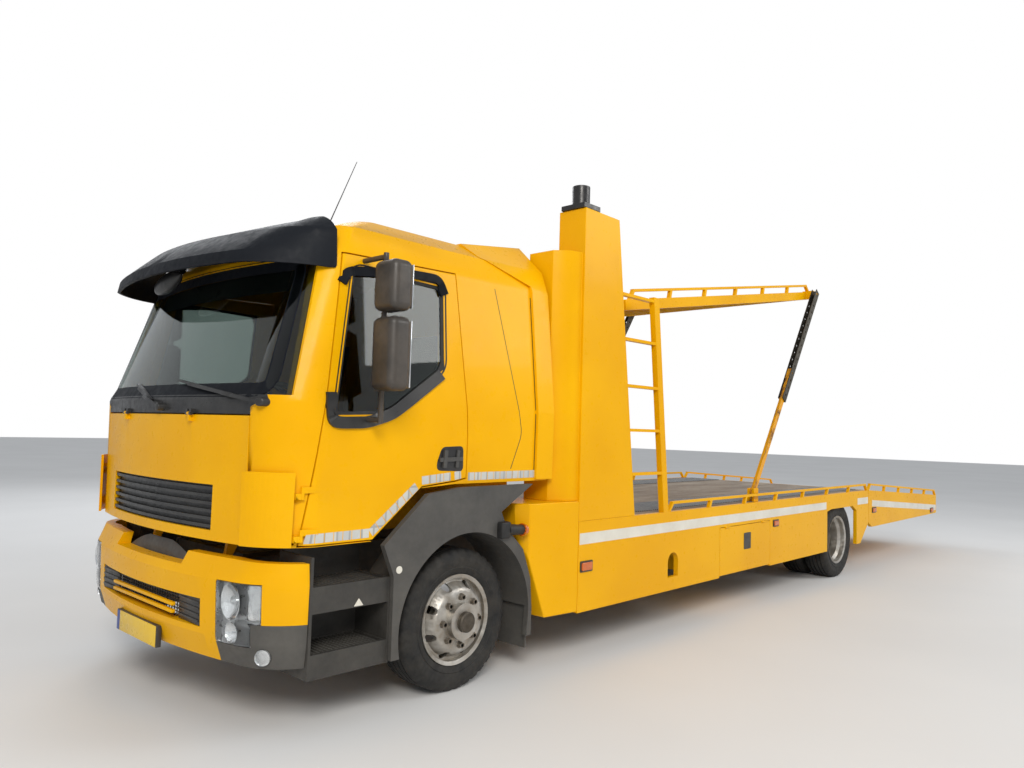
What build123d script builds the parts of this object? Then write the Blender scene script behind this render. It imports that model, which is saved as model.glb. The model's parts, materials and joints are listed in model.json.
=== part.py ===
from build123d import *
import math
import os

# Two-axle cab-over car transporter with a fixed lower deck, a tilting tail and a raised upper deck.
# The model is drawn from the front axle: +X towards the tail, +Y to the right-hand side, +Z up from the ground.
# Each finished piece is then moved along X, so that the origin lies below the middle of the whole length.

# Wheels and axles
wheelbase = 5700.0
tyre_radius = 410.0
tyre_width = 250.0
rim_radius = 248.0
rim_well_radius = 222.0
rim_half = 98.0
rim_wall = 9.0
flange_height = 13.0
rim_offset = 144.0
front_tyre_y = 980.0
twin_outer_y = 1072.0
twin_inner_y = twin_outer_y - 2 * rim_offset
stub_radius = 40.0
rear_tube_radius = 62.0
kingpin_y = 800.0
kingpin_radius = 22.0
hub_radius = 105.0
stud_circle_radius = 137.5
stud_radius = 11.0
stud_count = 8
hand_hole_count = 8
running_gap = 0.3
move_gap = 8.0

# Chassis
rail_y = 420.0
rail_flange = 75.0
rail_web = 8.0
rail_bottom_z = 560.0
rail_top_z = 800.0
rail_front_x = -1000.0
rail_rear_x = 6380.0

# Cab, one row a level: z, front x, corner x, half width at the corner, side x, half width
cab_levels = [
    (925.0, -1352.0, -1265.0, 860.0, -1010.0, 1140.0),
    (1640.0, -1345.0, -1262.0, 880.0, -1040.0, 1150.0),
    (2430.0, -1075.0, -990.0, 800.0, -850.0, 1070.0),
    (2590.0, -960.0, -880.0, 760.0, -760.0, 1010.0),
    (2700.0, -620.0, -560.0, 640.0, -500.0, 820.0),
]
cab_rear_x = 720.0
cab_bulge = 62.0
cab_wall = 60.0
cab_arch_z = 1205.0
cab_arch_y = 790.0
cab_tilt_x = -1215.0
cab_tilt_z = 720.0
cab_pin_radius = 20.0
hatch_hinge_x = -1346.0
hatch_hinge_z = 1566.0
hatch_hinge_y = 420.0
hatch_top_z = 1560.0
door_hinge_x = -1090.0
door_hinge_y = 1135.0
hinge_pin_radius = 4.0
hinge_eye_radius = 9.0
bore_gap = 0.05

# Doors and windows, as points (x, z) of the side view
door_outline = [(-1088.0, 935.0), (-668.0, 935.0), (-345.0, 1200.0), (-95.0, 1225.0),
                (-12.0, 1240.0), (-12.0, 1480.0), (-78.0, 2440.0), (-868.0, 2420.0)]
side_window = [(-940.0, 1575.0), (-600.0, 1590.0), (-190.0, 1865.0), (-175.0, 2345.0), (-805.0, 2365.0)]
screen_side = [(-1142.0, 1665.0), (-962.0, 2395.0)]
sill_y = 1070.0
sill_front_y = 1000.0
sill_front_x = -920.0
sill_top_z = 1300.0
glass_depth = 16.0
glass_thickness = 5.0

# The steps: top z, lip height
step_rows = [(735.0, 130.0), (410.0, 120.0)]

# Body
body_half = 1248.0
skirt_wall = 40.0
# The toolbox door: front x, rear x, bottom z, top z
toolbox = (2880.0, 3845.0, 345.0, 745.0)
skirt_bottom_z = 330.0
deck_top_z = 930.0
deck_floor = 40.0
column_front_x = 944.0
seam_x = 6507.0
tail_end_x = 9360.0
tail_end_top_z = 756.0
tail_end_bottom_z = 500.0
arch_front_x = 5243.0
arch_rear_x = 6122.0
arch_top_z = 870.0
rail_height = 78.0
tail_hinge_x = 6600.0
tail_hinge_z = 600.0
tail_pin_radius = 20.0

# Upper deck, its columns and its struts
column_top_z = 3050.0
column_top_x = 1338.0
column_foot_x = 1600.0
column_inner_y = 1015.0
column_wall = 8.0
pivot_x = 1180.0
pivot_z = 2333.0
upper_length = 4020.0
upper_half = 1090.0
upper_neck_half = 1000.0
upper_tilt = 9.5
beam_height = 82.0
foot_x = 3640.0
foot_z = 1012.0
strut_y = 1172.0
lift_travel = 1270.0
# The strut's eye, measured back from the deck's end and up from the pivot
eye_back = 65.0
eye_up = 90.0
bar_length = 1455.0
channel_length = 1430.0
slider_length = 120.0
eye_pin_radius = 14.0
strut_hole_count = 14
strut_hole_pitch = 92.0

overall_front_x = -1420.0
overall_rear_x = tail_end_x + 38
x_shift = -(overall_front_x + overall_rear_x) / 2


def box(x0, x1, y0, y1, z0, z1):
    """A block between two corners."""
    return Pos((x0 + x1) / 2, (y0 + y1) / 2, (z0 + z1) / 2) * Box(x1 - x0, y1 - y0, z1 - z0)


def plate_xz(points, y0, y1):
    """A side-view outline of (x, z) points, made a plate between two y."""
    face = Plane.XZ * make_face(Polyline(*points, close=True))
    return extrude(Pos(0, y0, 0) * face, amount=y1 - y0, dir=(0, 1, 0))


def plate_xy(points, z0, z1):
    """A plan-view outline of (x, y) points, made a plate between two z."""
    face = make_face(Polyline(*points, close=True))
    return extrude(Pos(0, 0, z0) * face, amount=z1 - z0)


def rod_x(y, z, radius, x0, x1):
    """A round bar along X."""
    return Pos((x0 + x1) / 2, y, z) * Rot(0, 90, 0) * Cylinder(radius, x1 - x0)


def rod_y(x, z, radius, y0, y1):
    """A round bar along Y."""
    return Pos(x, (y0 + y1) / 2, z) * Rot(90, 0, 0) * Cylinder(radius, y1 - y0)


def rod_z(x, y, radius, z0, z1):
    """A round bar along Z."""
    return Pos(x, y, (z0 + z1) / 2) * Cylinder(radius, z1 - z0)


def other_side(shape):
    """The right-hand copy of a left-hand piece."""
    return mirror(shape, about=Plane.XZ)


def group(shapes):
    """Solids that share a node without touching."""
    return Compound([solid for shape in shapes for solid in shape.solids()])


def ring_section(points):
    """A wheel section of (radius, y) points turned about the wheel's axis."""
    doubled_area = sum(a[0] * b[1] - b[0] * a[1] for a, b in zip(points, points[1:] + points[:1]))
    if doubled_area < 0:
        points = points[::-1]
    face = make_face(Polyline(*points, close=True))
    return revolve(face, axis=Axis.Y)


pieces = {}

# Wheels


def tyre(y):
    """One tyre, centred at y on its axle."""
    half = tyre_width / 2
    bead = rim_half - running_gap
    seat = rim_radius + running_gap
    lip = seat + flange_height
    shoulder = tyre_radius - 34
    inner = tyre_radius - 60
    section = [(seat, -bead), (lip, -bead - 6), (shoulder - 50, -half), (shoulder, -half + 6),
               (tyre_radius, -half + 26), (tyre_radius, half - 26), (shoulder, half - 6),
               (shoulder - 50, half), (lip, bead + 6), (seat, bead), (seat, bead - 20),
               (inner, half - 40), (inner, -half + 40), (seat, -bead + 20)]
    return Pos(0, y, 0) * ring_section(section)


def rim():
    """One steel rim centred on its own y = 0, its nave outboard towards -y."""
    h = rim_half
    r = rim_radius
    w = rim_well_radius
    low = r - rim_wall
    tip = r + flange_height
    section = [(tip, -h - 6), (r, -h), (r, -h + 34), (w, -h + 60), (w, h - 60), (r, h - 34), (r, h), (tip, h + 6),
               (tip, h + 14), (low, h + 6), (low, h - 38), (w - rim_wall, h - 64), (w - rim_wall, -h + 64),
               (low, -h + 38), (low, -h - 6), (tip, -h - 14)]
    barrel = ring_section(section)
    d = -rim_offset
    disc = ring_section([(hub_radius, d), (168, d), (188, d + 10), (low - 22, d + 62), (low + 3, d + 68),
                         (low + 3, d + 82), (low - 26, d + 76), (182, d + 24), (165, d + 14), (hub_radius, d + 14)])
    for i in range(hand_hole_count):
        angle = math.radians(360 / hand_hole_count * (i + 0.5))
        disc = disc - rod_y(208 * math.cos(angle), 208 * math.sin(angle), 23, d - 20, d + 110)
    return barrel + disc


def studs(y0, y1):
    """The circle of wheel studs with their nuts."""
    solid = None
    for i in range(stud_count):
        angle = math.radians(360 / stud_count * i)
        x = stud_circle_radius * math.cos(angle)
        z = stud_circle_radius * math.sin(angle)
        nut = rod_y(x, z, stud_radius, y0, y1)
        solid = nut if solid is None else solid + nut
    return solid


def at_axle(shape, x):
    """A wheel piece put on its axle's centre line."""
    return Pos(x, 0, tyre_radius) * shape


one_rim = rim()
face_y = -front_tyre_y - rim_offset
back_y = face_y + 14
front_hub = rod_y(0, 0, hub_radius - 0.1, face_y - 40, back_y) + rod_y(0, 0, 165, back_y, back_y + 16)
front_hub = front_hub + rod_y(0, 0, 120, back_y + 16, back_y + 130)
front_hub = front_hub - rod_y(0, 0, stub_radius + 0.05, back_y + 20, back_y + 140)
front_wheel = Pos(0, -front_tyre_y, 0) * one_rim + front_hub + studs(face_y - 26, back_y + 8)
pieces["front_wheel_left"] = at_axle(front_wheel, 0)
pieces["front_tyre_left"] = at_axle(tyre(-front_tyre_y), 0)

# The stub axle and its kingpin eye
stub = rod_y(0, 0, stub_radius, back_y + 24, -kingpin_y - 40)
stub_flange = rod_y(0, 0, 118, -kingpin_y - 70, -kingpin_y - 48)
knuckle_post = box(-48, 48, -kingpin_y - 50, -kingpin_y + 44, -105, 105)
arm = plate_xy([(40, -kingpin_y - 30), (40, -kingpin_y + 30), (225, -kingpin_y + 80), (245, -kingpin_y + 50)], -105, -82)
knuckle = stub + stub_flange + knuckle_post + arm
knuckle = knuckle - rod_z(0, -kingpin_y, kingpin_radius + 0.05, -120, 120)
knuckle = knuckle - box(-60, 60, -kingpin_y - 38, -kingpin_y + 60, -58, 58)
pieces["steering_knuckle_left"] = at_axle(knuckle, 0)

beam_drop = 70.0
axle_end = rod_z(0, -kingpin_y, 34, -50, 50) + box(-34, 34, -kingpin_y, -kingpin_y + 30, -50, 50)
axle_end = axle_end + box(-46, 46, -kingpin_y + 24, -kingpin_y + 46, -50, 50) + rod_z(0, -kingpin_y, kingpin_radius, -104, 104)
axle_arm = plate_xz([(-46, -50), (46, -50), (46, 50), (-46, 50)], -kingpin_y + 46, -kingpin_y + 80)
beam_mid = box(-46, 46, -640, 640, -50 - beam_drop, 30 - beam_drop)
neck = extrude(Plane.YZ * make_face(Polyline((-kingpin_y + 70, -50), (-kingpin_y + 70, 50), (-600, 30 - beam_drop),
                                              (-600, -50 - beam_drop), close=True)), amount=46, both=True)
spring_seat = box(-90, 90, -rail_y - 40, -rail_y + 40, 30 - beam_drop, 45 - beam_drop)
half_axle = axle_end + axle_arm + neck + spring_seat
pieces["front_axle"] = at_axle(half_axle + beam_mid + other_side(half_axle), 0)

rod_arm_x = 222.0
rod_end_y = kingpin_y - 58.0
track_rod = rod_y(rod_arm_x, -126, 15, -rod_end_y, rod_end_y)
for side in (-1, 1):
    track_rod = track_rod + rod_z(rod_arm_x, side * rod_end_y, 24, -146, -105 - running_gap)
pieces["track_rod"] = at_axle(track_rod, 0)

# Rear axle with twin wheels
nave_y = -(twin_outer_y + twin_inner_y) / 2
outer_rim = Pos(0, -twin_outer_y, 0) * mirror(one_rim, about=Plane.XZ)
inner_rim = Pos(0, -twin_inner_y, 0) * one_rim
rear_hub = rod_y(0, 0, hub_radius - 0.1, nave_y - 95, nave_y + 14) + rod_y(0, 0, 165, nave_y + 14, nave_y + 30)
rear_hub = rear_hub + rod_y(0, 0, 150, nave_y + 30, nave_y + 130)
rear_hub = rear_hub - rod_y(0, 0, rear_tube_radius + 0.05, nave_y + 20, nave_y + 150)
rear_wheels = outer_rim + inner_rim + rear_hub + studs(nave_y - 42, nave_y + 24)
pieces["rear_wheels_left"] = at_axle(rear_wheels, wheelbase)
pieces["rear_tyres_left"] = at_axle(group([tyre(-twin_outer_y), tyre(-twin_inner_y)]), wheelbase)

rear_tube = rod_y(0, 0, rear_tube_radius, nave_y + 26, -nave_y - 26)
banjo = rod_y(0, 0, 78, -640, 640) + Sphere(210) + Pos(-190, 0, 0) * Rot(0, 90, 0) * Cylinder(90, 140)
rear_seat = box(-100, 100, -rail_y - 45, -rail_y + 45, 60, 95) + box(-100, 100, rail_y - 45, rail_y + 45, 60, 95)
pieces["rear_axle"] = at_axle(rear_tube + banjo + rear_seat, wheelbase)

for name in ("front_wheel", "front_tyre", "steering_knuckle", "rear_wheels", "rear_tyres"):
    pieces[name + "_right"] = other_side(pieces[name + "_left"])

# Chassis frame


def chassis_rail(y, inward):
    """One channel rail whose web is at y and whose flanges point inward."""
    y_in = y + inward * rail_flange
    y_web = y + inward * rail_web
    web = box(rail_front_x, rail_rear_x, min(y, y_web), max(y, y_web), rail_bottom_z, rail_top_z)
    low = box(rail_front_x, rail_rear_x, min(y, y_in), max(y, y_in), rail_bottom_z, rail_bottom_z + rail_web)
    top = box(rail_front_x, rail_rear_x, min(y, y_in), max(y, y_in), rail_top_z - rail_web, rail_top_z)
    return web + low + top


chassis = chassis_rail(-rail_y, 1) + chassis_rail(rail_y, -1)
cross_x = [-960.0, 900.0, 2200.0, 3500.0, 4800.0, 6300.0]
seat_gap = 0.3
cross_half = rail_y - rail_web - seat_gap
pieces["cross_members"] = group([box(x - 30, x + 30, -cross_half, cross_half, rail_bottom_z + 110, rail_top_z - rail_web - seat_gap)
                                 for x in cross_x])
horn = plate_xz([(rail_front_x + 240, 600), (rail_front_x + 240, 780), (cab_tilt_x - 40, cab_tilt_z + 40),
                 (cab_tilt_x - 40, cab_tilt_z - 60)], -rail_y - 20, -rail_y)
horn = horn - rod_y(cab_tilt_x, cab_tilt_z, cab_pin_radius + bore_gap, -rail_y - 60, -rail_y + 10)
cab_rest = box(620, 690, -rail_y, -rail_y + rail_flange, rail_top_z - 5, cab_levels[0][0] - running_gap)
chassis = chassis + horn + other_side(horn) + cab_rest + other_side(cab_rest)
ear = plate_xz([(rail_rear_x - 180, 590), (rail_rear_x - 180, 780), (rail_rear_x, 780), (tail_hinge_x + 40, tail_hinge_z + 40),
                (tail_hinge_x + 40, tail_hinge_z - 40), (rail_rear_x, tail_hinge_z - 40)], -rail_y - 20, -rail_y)
ear = ear - box(rail_rear_x + 0.1, tail_hinge_x + 60, -rail_y - running_gap, -rail_y + 10, 500, 800)
ear = ear + rod_y(tail_hinge_x, tail_hinge_z, tail_pin_radius, -rail_y - 20, -rail_y + 62)
chassis = chassis + ear + other_side(ear)
for x in [-900.0, -640.0]:
    step_arm = box(x - 20, x + 20, -872, -rail_y, 620, 660)
    chassis = chassis + step_arm + other_side(step_arm)

spring_half = 720.0
spring_rows = [(0.0, tyre_radius + 45 - beam_drop, rail_bottom_z), (wheelbase, tyre_radius + 95, rail_bottom_z)]
springs = []
for x, seat_z, top_z in spring_rows:
    leaf = plate_xz([(x - spring_half, top_z - 40), (x - 120, seat_z), (x + 120, seat_z), (x + spring_half, top_z - 40),
                     (x + spring_half, top_z), (x + spring_half - 60, top_z), (x + 120, seat_z + 55),
                     (x - 120, seat_z + 55), (x - spring_half + 60, top_z), (x - spring_half, top_z)],
                    -rail_y - 35, -rail_y + 40)
    springs.append(leaf)
    springs.append(other_side(leaf))
pieces["leaf_springs"] = group(springs)

gearbox = box(300 + seat_gap, 840, -150, 150, 480, 640)
shaft_z = 570.0
shaft_end = wheelbase - 262.0
shaft_slope = math.degrees(math.atan2(shaft_z - tyre_radius, shaft_end - 840))
shaft_length = math.hypot(shaft_z - tyre_radius, shaft_end - 840)
shaft = Pos(830, 0, shaft_z + 10 * math.tan(math.radians(shaft_slope))) * Rot(0, shaft_slope, 0) * Pos(shaft_length / 2 + 5, 0, 0) * Rot(0, 90, 0) * Cylinder(48, shaft_length + 10)
shaft = shaft - box(300, 840 + seat_gap, -150, 150, 480, 640)
pieces["drive_train"] = group([box(-780, 300, -rail_y + 85, rail_y - 85, 440, 905), gearbox, shaft])
tank = fillet(box(1650, 2800, 500, 1080, 380, 790).edges().filter_by(Axis.X), 60)
for x in [1850.0, 2600.0]:
    tank = tank + box(x - 30, x + 30, rail_y, 530, 600, 680)
pieces["fuel_tank"] = tank

# Cab


def cab_outline(level, inset):
    """The plan outline of the cab at one level, moved inwards by inset."""
    z, front, corner, half_front, side, half = level
    front = front + inset
    corner = corner + inset * 0.9
    half_front = half_front - inset * 0.45
    half = half - inset
    rear = cab_rear_x - inset
    near = (side, -half)
    far = (side, half)
    mid = ((side + corner) / 2 - cab_bulge * 0.7, (half + half_front) / 2 + cab_bulge * 0.7)
    edges = [ThreePointArc((corner, -half_front), (front, 0), (corner, half_front)),
             ThreePointArc((corner, half_front), mid, far),
             Line(far, (rear, half)),
             Line((rear, half), (rear, -half)),
             Line((rear, -half), near),
             ThreePointArc(near, (mid[0], -mid[1]), (corner, -half_front))]
    return Pos(0, 0, z) * make_face(edges)


def cab_body(inset, bottom_z, top_z):
    """The cab's closed outer form, moved inwards by inset."""
    levels = [list(row) for row in cab_levels]
    levels[0][0] = bottom_z
    levels[-1][0] = top_z
    return loft([cab_outline(row, inset) for row in levels], ruled=True)


arch_points = [(-676.0, 700.0), (-676.0, 925.0), (-352.0, 1190.0), (-100.0, cab_arch_z), (900.0, cab_arch_z), (900.0, 700.0)]


def arch_zone(grow):
    """The space over both front wheels, left free by the cab's sides."""
    points = [(-676.0 - grow, 700.0), (-676.0 - grow, 925.0 + grow * 0.7), (-352.0 - grow * 0.5, 1190.0 + grow),
              (-100.0, cab_arch_z + grow), (900.0, cab_arch_z + grow), (900.0, 700.0)]
    left = plate_xz(points, -1400, -cab_arch_y + grow)
    return left + other_side(left)


cab_outer = cab_body(0, cab_levels[0][0], cab_levels[-1][0]) - arch_zone(0)
cab_inner = cab_body(cab_wall, cab_levels[0][0] + cab_wall, cab_levels[-1][0] - 45) - arch_zone(cab_wall)
cab_glass_skin = (cab_body(glass_depth, cab_levels[0][0], cab_levels[-1][0] - 20)
                  - cab_body(glass_depth + glass_thickness, cab_levels[0][0] - 20, cab_levels[-1][0] - 40))
cab_walls = cab_outer - cab_inner


def offset_outline(points, grow):
    """A side-view outline grown evenly by grow."""
    face = make_face(Polyline(*points, close=True))
    return offset(face, amount=grow, kind=Kind.INTERSECTION) if grow else face


def side_region(points, grow, y0, y1):
    """A side-view outline grown by grow and run from y0 to y1."""
    face = Plane.XZ * offset_outline(points, grow)
    return extrude(Pos(0, y0, 0) * face, amount=y1 - y0, dir=(0, 1, 0))


screen_region = plate_xz([(-2000, screen_side[0][1]), screen_side[0], screen_side[1], (-2000, screen_side[1][1])], -1400, 1400)
# The floor and the wheel arch's ledge behind the door stay on the cab, clear of the door's swing
sill_zone = box(-1200, 0, -sill_front_y, -850, 900, sill_top_z) + box(sill_front_x, 0, -sill_y, -850, 900, sill_top_z)
door_free_zone = box(-1200, 0, -sill_front_y - 10, -850, 900, sill_top_z) + box(-990, 0, -sill_y - 6, -850, 900, sill_top_z)
door_region = side_region(door_outline, 0, -1400, -900) - door_free_zone
door_gap_region = side_region(door_outline, move_gap, -1400, -900) - sill_zone
window_region = side_region(side_window, 0, -1400, -900)
glass_region = side_region(side_window, -1.0, -1400, -900)

# The front hatch is the painted panel under the windscreen, with the grille in it
hatch_bottom_z = 925.0
hatch_half = 900.0
hatch_region = box(-1500, -1230, -hatch_half, hatch_half, hatch_bottom_z - 5, hatch_top_z)
hatch_gap = box(-1500, -1230 + move_gap, -hatch_half - move_gap, hatch_half + move_gap, hatch_bottom_z - 50, hatch_top_z + move_gap)

shell = cab_walls - screen_region - door_gap_region - other_side(door_gap_region) - hatch_gap
firewall = box(-1222, -1190, -1000, 1000, cab_levels[0][0], 1640)
shell = shell + (firewall & cab_body(cab_wall - 10, cab_levels[0][0], cab_levels[-1][0]))
# The lug bends rearwards, so that it passes behind the bumper's wall as the cab tilts
tilt_lug = plate_xz([(cab_tilt_x - 26, cab_tilt_z - 26), (cab_tilt_x - 26, cab_tilt_z + 26), (-1126, 820), (-1105, 930),
                     (-1020, 930), (cab_tilt_x + 62, cab_tilt_z - 26)], -rail_y - 50, -rail_y - 20.3)
tilt_pin = rod_y(cab_tilt_x, cab_tilt_z, cab_pin_radius, -rail_y - 50, -rail_y)
shell = shell + tilt_lug + tilt_pin + other_side(tilt_lug + tilt_pin)
hinge_z = [985.0, 1190.0]
door = (cab_walls & door_region) - window_region
for z in hinge_z:
    pin = rod_z(door_hinge_x, -door_hinge_y, hinge_pin_radius, z - 30, z + 30)
    eye = rod_z(door_hinge_x, -door_hinge_y, hinge_eye_radius, z - 30, z - running_gap)
    leaf = box(door_hinge_x - 40, door_hinge_x - 10, -door_hinge_y - 4, -door_hinge_y + 70, z - 31, z - running_gap)
    leaf = leaf + box(door_hinge_x - 20, door_hinge_x, -door_hinge_y - 4, -door_hinge_y + 4, z - 30, z - running_gap)
    side_hinge = eye + leaf + pin
    shell = (shell + side_hinge) + other_side(side_hinge)
    door_eye = rod_z(door_hinge_x, -door_hinge_y, hinge_eye_radius, z, z + 30)
    door_leaf = box(door_hinge_x, door_hinge_x + 90, -door_hinge_y - 9, -door_hinge_y - 2, z, z + 30)
    door_leaf = door_leaf + box(door_hinge_x + 60, door_hinge_x + 90, -door_hinge_y - 9, -door_hinge_y + 40, z, z + 30)
    bore = rod_z(door_hinge_x, -door_hinge_y, hinge_pin_radius + bore_gap, z - 40, z + 40)
    door = door + (door_eye + door_leaf - bore)
for side in (-1, 1):
    y = side * hatch_hinge_y
    shell = shell + rod_y(hatch_hinge_x, hatch_hinge_z, hinge_pin_radius, y - 30, y + 30)
    shell = shell + rod_y(hatch_hinge_x, hatch_hinge_z, hinge_eye_radius, y + 12 + running_gap, y + 30)
    shell = shell + rod_y(hatch_hinge_x, hatch_hinge_z, hinge_eye_radius, y - 30, y - 12 - running_gap)
    leaf = box(hatch_hinge_x - 4, hatch_hinge_x + 50, y - 30, y + 30, hatch_hinge_z + 3, hatch_hinge_z + 24)
    shell = shell + (leaf - box(hatch_hinge_x - 60, hatch_hinge_x + 20, y - 13, y + 13, hatch_hinge_z - 60, hatch_hinge_z + 60))
# The dark cowl between the front hatch and the windscreen
cowl_half = 905.0
cowl_top_z = screen_side[0][1] + 3
cowl_points = [(-cowl_half, 1500), (-cowl_half, hatch_top_z + 45), (-cowl_half - 160, cowl_top_z),
               (cowl_half + 160, cowl_top_z), (cowl_half, hatch_top_z + 45), (cowl_half, 1500)]


def cowl_zone(x0):
    """The space of the cowl in front of the firewall."""
    face = Plane.YZ * make_face(Polyline(*cowl_points, close=True))
    return extrude(Pos(x0, 0, 0) * face, amount=-1190 - x0 - 35, dir=(1, 0, 0))


pieces["cowl"] = shell & cowl_zone(-1500)
shell = shell - cowl_zone(-1500)
pieces["cab_shell"] = shell

pieces["door_left"] = door
pieces["door_glass_left"] = cab_glass_skin & glass_region
pieces["windscreen"] = cab_glass_skin & plate_xz([(-2000, screen_side[0][1] + 0.5), (screen_side[0][0] - 0.5, screen_side[0][1] + 0.5),
                                                   (screen_side[1][0] - 0.5, screen_side[1][1] - 0.5), (-2000, screen_side[1][1] - 0.5)], -1400, 1400)

grille_bottom_z = 975.0
grille_top_z = 1205.0
grille_half = 640.0
front_skin = cab_body(0, cab_levels[0][0], cab_levels[-1][0]) - cab_body(40, cab_levels[0][0] - 60, cab_levels[-1][0] - 60)
hatch = front_skin & hatch_region
grille_hole = box(-1500, -1150, -grille_half, grille_half, grille_bottom_z, grille_top_z)
hatch = hatch - grille_hole
for side in (-1, 1):
    y = side * hatch_hinge_y
    eye = rod_y(hatch_hinge_x, hatch_hinge_z, hinge_eye_radius, y - 12, y + 12)
    leaf = box(hatch_hinge_x - 4, hatch_hinge_x + 50, y - 12, y + 12, hatch_hinge_z - 40, hatch_top_z)
    leaf = leaf + box(hatch_hinge_x - 4, hatch_hinge_x + 6, y - 12, y + 12, hatch_hinge_z - 40, hatch_hinge_z)
    hatch = hatch + (eye + leaf - rod_y(hatch_hinge_x, hatch_hinge_z, hinge_pin_radius + bore_gap, y - 20, y + 20))
pieces["front_hatch"] = hatch

slat_count = 6
slats = None
grille_back = (cab_body(30, cab_levels[0][0], cab_levels[-1][0]) - cab_body(38, cab_levels[0][0] - 60, cab_levels[-1][0] - 60)) & grille_hole
slats = grille_back
for i in range(slat_count):
    z = grille_bottom_z + (grille_top_z - grille_bottom_z) * (i + 0.5) / slat_count
    slat = (cab_body(6, cab_levels[0][0], cab_levels[-1][0]) - cab_body(38, cab_levels[0][0] - 60, cab_levels[-1][0] - 60)) & box(
        -1500, -1150, -grille_half, grille_half, z - 8, z + 8)
    slats = slats + slat
pieces["grille"] = slats



def hood_face(front, corner, half_front, side, half, z):
    """The plan outline of a curved hood at one level, open to the rear."""
    mid_x = (corner + side) / 2 - 38
    mid_y = (half_front + half) / 2 + 38
    edges = [ThreePointArc((corner, -half_front), (front, 0), (corner, half_front)),
             ThreePointArc((corner, half_front), (mid_x, mid_y), (side, half)),
             Line((side, half), (side, -half)),
             ThreePointArc((side, -half), (mid_x, -mid_y), (corner, -half_front))]
    return Pos(0, 0, z) * make_face(edges)


visor_rows = [(-1420, -1300, 800, -900, 1070, 2335), (-1400, -1290, 790, -900, 1068, 2400),
              (-1250, -1130, 780, -900, 1060, 2540), (-1010, -930, 760, -800, 1020, 2632)]
visor = loft([hood_face(*row) for row in visor_rows], ruled=True)
visor_inner = loft([hood_face(f + 16, c + 14, h - 8, s0, w - 14, z - 16) for f, c, h, s0, w, z in visor_rows], ruled=True)
visor_hull = visor
visor = visor - visor_inner - cab_body(-6, cab_levels[0][0], cab_levels[-1][0] + 6)
visor = visor & box(-1500, -905, -1200, 1200, 2300, 2700)
for y in [-500.0, 0.0, 500.0]:
    stay = (box(-1200, -1000, y - 12, y + 12, 2470, 2560) & visor_hull)
    visor = visor + (stay - cab_body(-running_gap, cab_levels[0][0], cab_levels[-1][0]))
pieces["sun_visor"] = visor
collar_outline = [(595, 1215), (595, 2470), (190, 2600), (190, 2900), (760, 2900), (760, 1215)]
collar_region = plate_xz(collar_outline, -1300, 1300)


def cab_half(z):
    """The cab side's distance from the centre plane at one height."""
    for low, high in zip(cab_levels, cab_levels[1:]):
        if z <= high[0]:
            return low[5] + (high[5] - low[5]) * (z - low[0]) / (high[0] - low[0])
    return cab_levels[-1][5]


def collar_face(x, grow, rise, bottom):
    """The collar's cross-section at one x."""
    half = [(-cab_half(z) - grow, z) for z in [bottom] + [row[0] for row in cab_levels[1:-1]]]
    half.append((-cab_levels[-1][5], cab_levels[-1][0] + rise))
    points = half + [(-y, z) for y, z in reversed(half)]
    return Pos(x, 0, 0) * (Plane.YZ * make_face(Polyline(*points, close=True)))


collar = loft([collar_face(190, 4, 15, cab_arch_z + 10), collar_face(745, 26, 90, cab_arch_z + 10)], ruled=True)
collar = collar - loft([collar_face(180, 0.5, 0.5, 1100), collar_face(760, 0.5, 0.5, 1100)], ruled=True)
collar = collar & collar_region
deflector_gap = 26.0
deflector = cab_body(-deflector_gap - 16, cab_levels[0][0], cab_levels[-1][0]) - cab_body(-deflector_gap, 900, cab_levels[-1][0] + 30)
deflector = deflector & box(-1500, door_hinge_x - 46, -1300, -915, 930, 1290)
for z in (1000.0, 1220.0):
    stay = box(-1215, -1180, -1200, -985, z - 12, z + 12) & cab_body(-deflector_gap - 8, cab_levels[0][0], cab_levels[-1][0])
    deflector = deflector + (stay - cab_body(-running_gap, 900, cab_levels[-1][0] + 30))
pieces["cab_fairings"] = group([collar, deflector, other_side(deflector)])

# Cab interior
dash = plate_xz([(-1185, 1280), (-1185, 1630), (-1000, 1625), (-860, 1520), (-850, 1340)], -1040, 1040)
dash = dash & cab_body(cab_wall + 1, cab_levels[0][0] + cab_wall, cab_levels[-1][0] - 45)
dash = dash - side_region(door_outline, move_gap, -1400, -900) - other_side(side_region(door_outline, move_gap, -1400, -900))
seat_list = []
for side in (-1, 1):
    y = side * 560.0
    cushion = box(-560, -60, y - 250, y + 250, 1290, 1420)
    back = plate_xz([(-90, 1400), (-180 + 250, 2110), (60 + 110, 2100), (30, 1400)], y - 240, y + 240)
    pedestal = box(-500, -120, y - 150, y + 150, cab_levels[0][0] + cab_wall, 1290)
    seat_list.append(cushion + back + pedestal)
pieces["seats"] = group(seat_list)
wheel_ring = Torus(225, 15)
column_bar = Pos(0, 0, -110) * Cylinder(28, 210)
spokes = Box(430, 40, 16) + Pos(0, 0, -6) * Cylinder(70, 30)
wheel_place = Pos(-760, -560, 1640) * Rot(0, 28, 0)
pieces["steering_wheel"] = wheel_place * (wheel_ring + spokes + column_bar)
pieces["dashboard"] = dash - wheel_place * Pos(0, 0, -110) * Cylinder(28.3, 214)

# Bumper, lamps, steps and mudguards on the chassis


def bumper_face(front, corner, half_front, side, half, z):
    """The bumper's plan outline at one level."""
    edges = [ThreePointArc((corner, -half_front), (front, 0), (corner, half_front)),
             ThreePointArc((corner, half_front), ((corner + side) / 2 - 38, (half_front + half) / 2 + 38), (side, half)),
             Line((side, half), (side, -half)),
             ThreePointArc((side, -half), ((corner + side) / 2 - 38, -(half_front + half) / 2 - 38), (corner, -half_front))]
    return Pos(0, 0, z) * make_face(edges)


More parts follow.
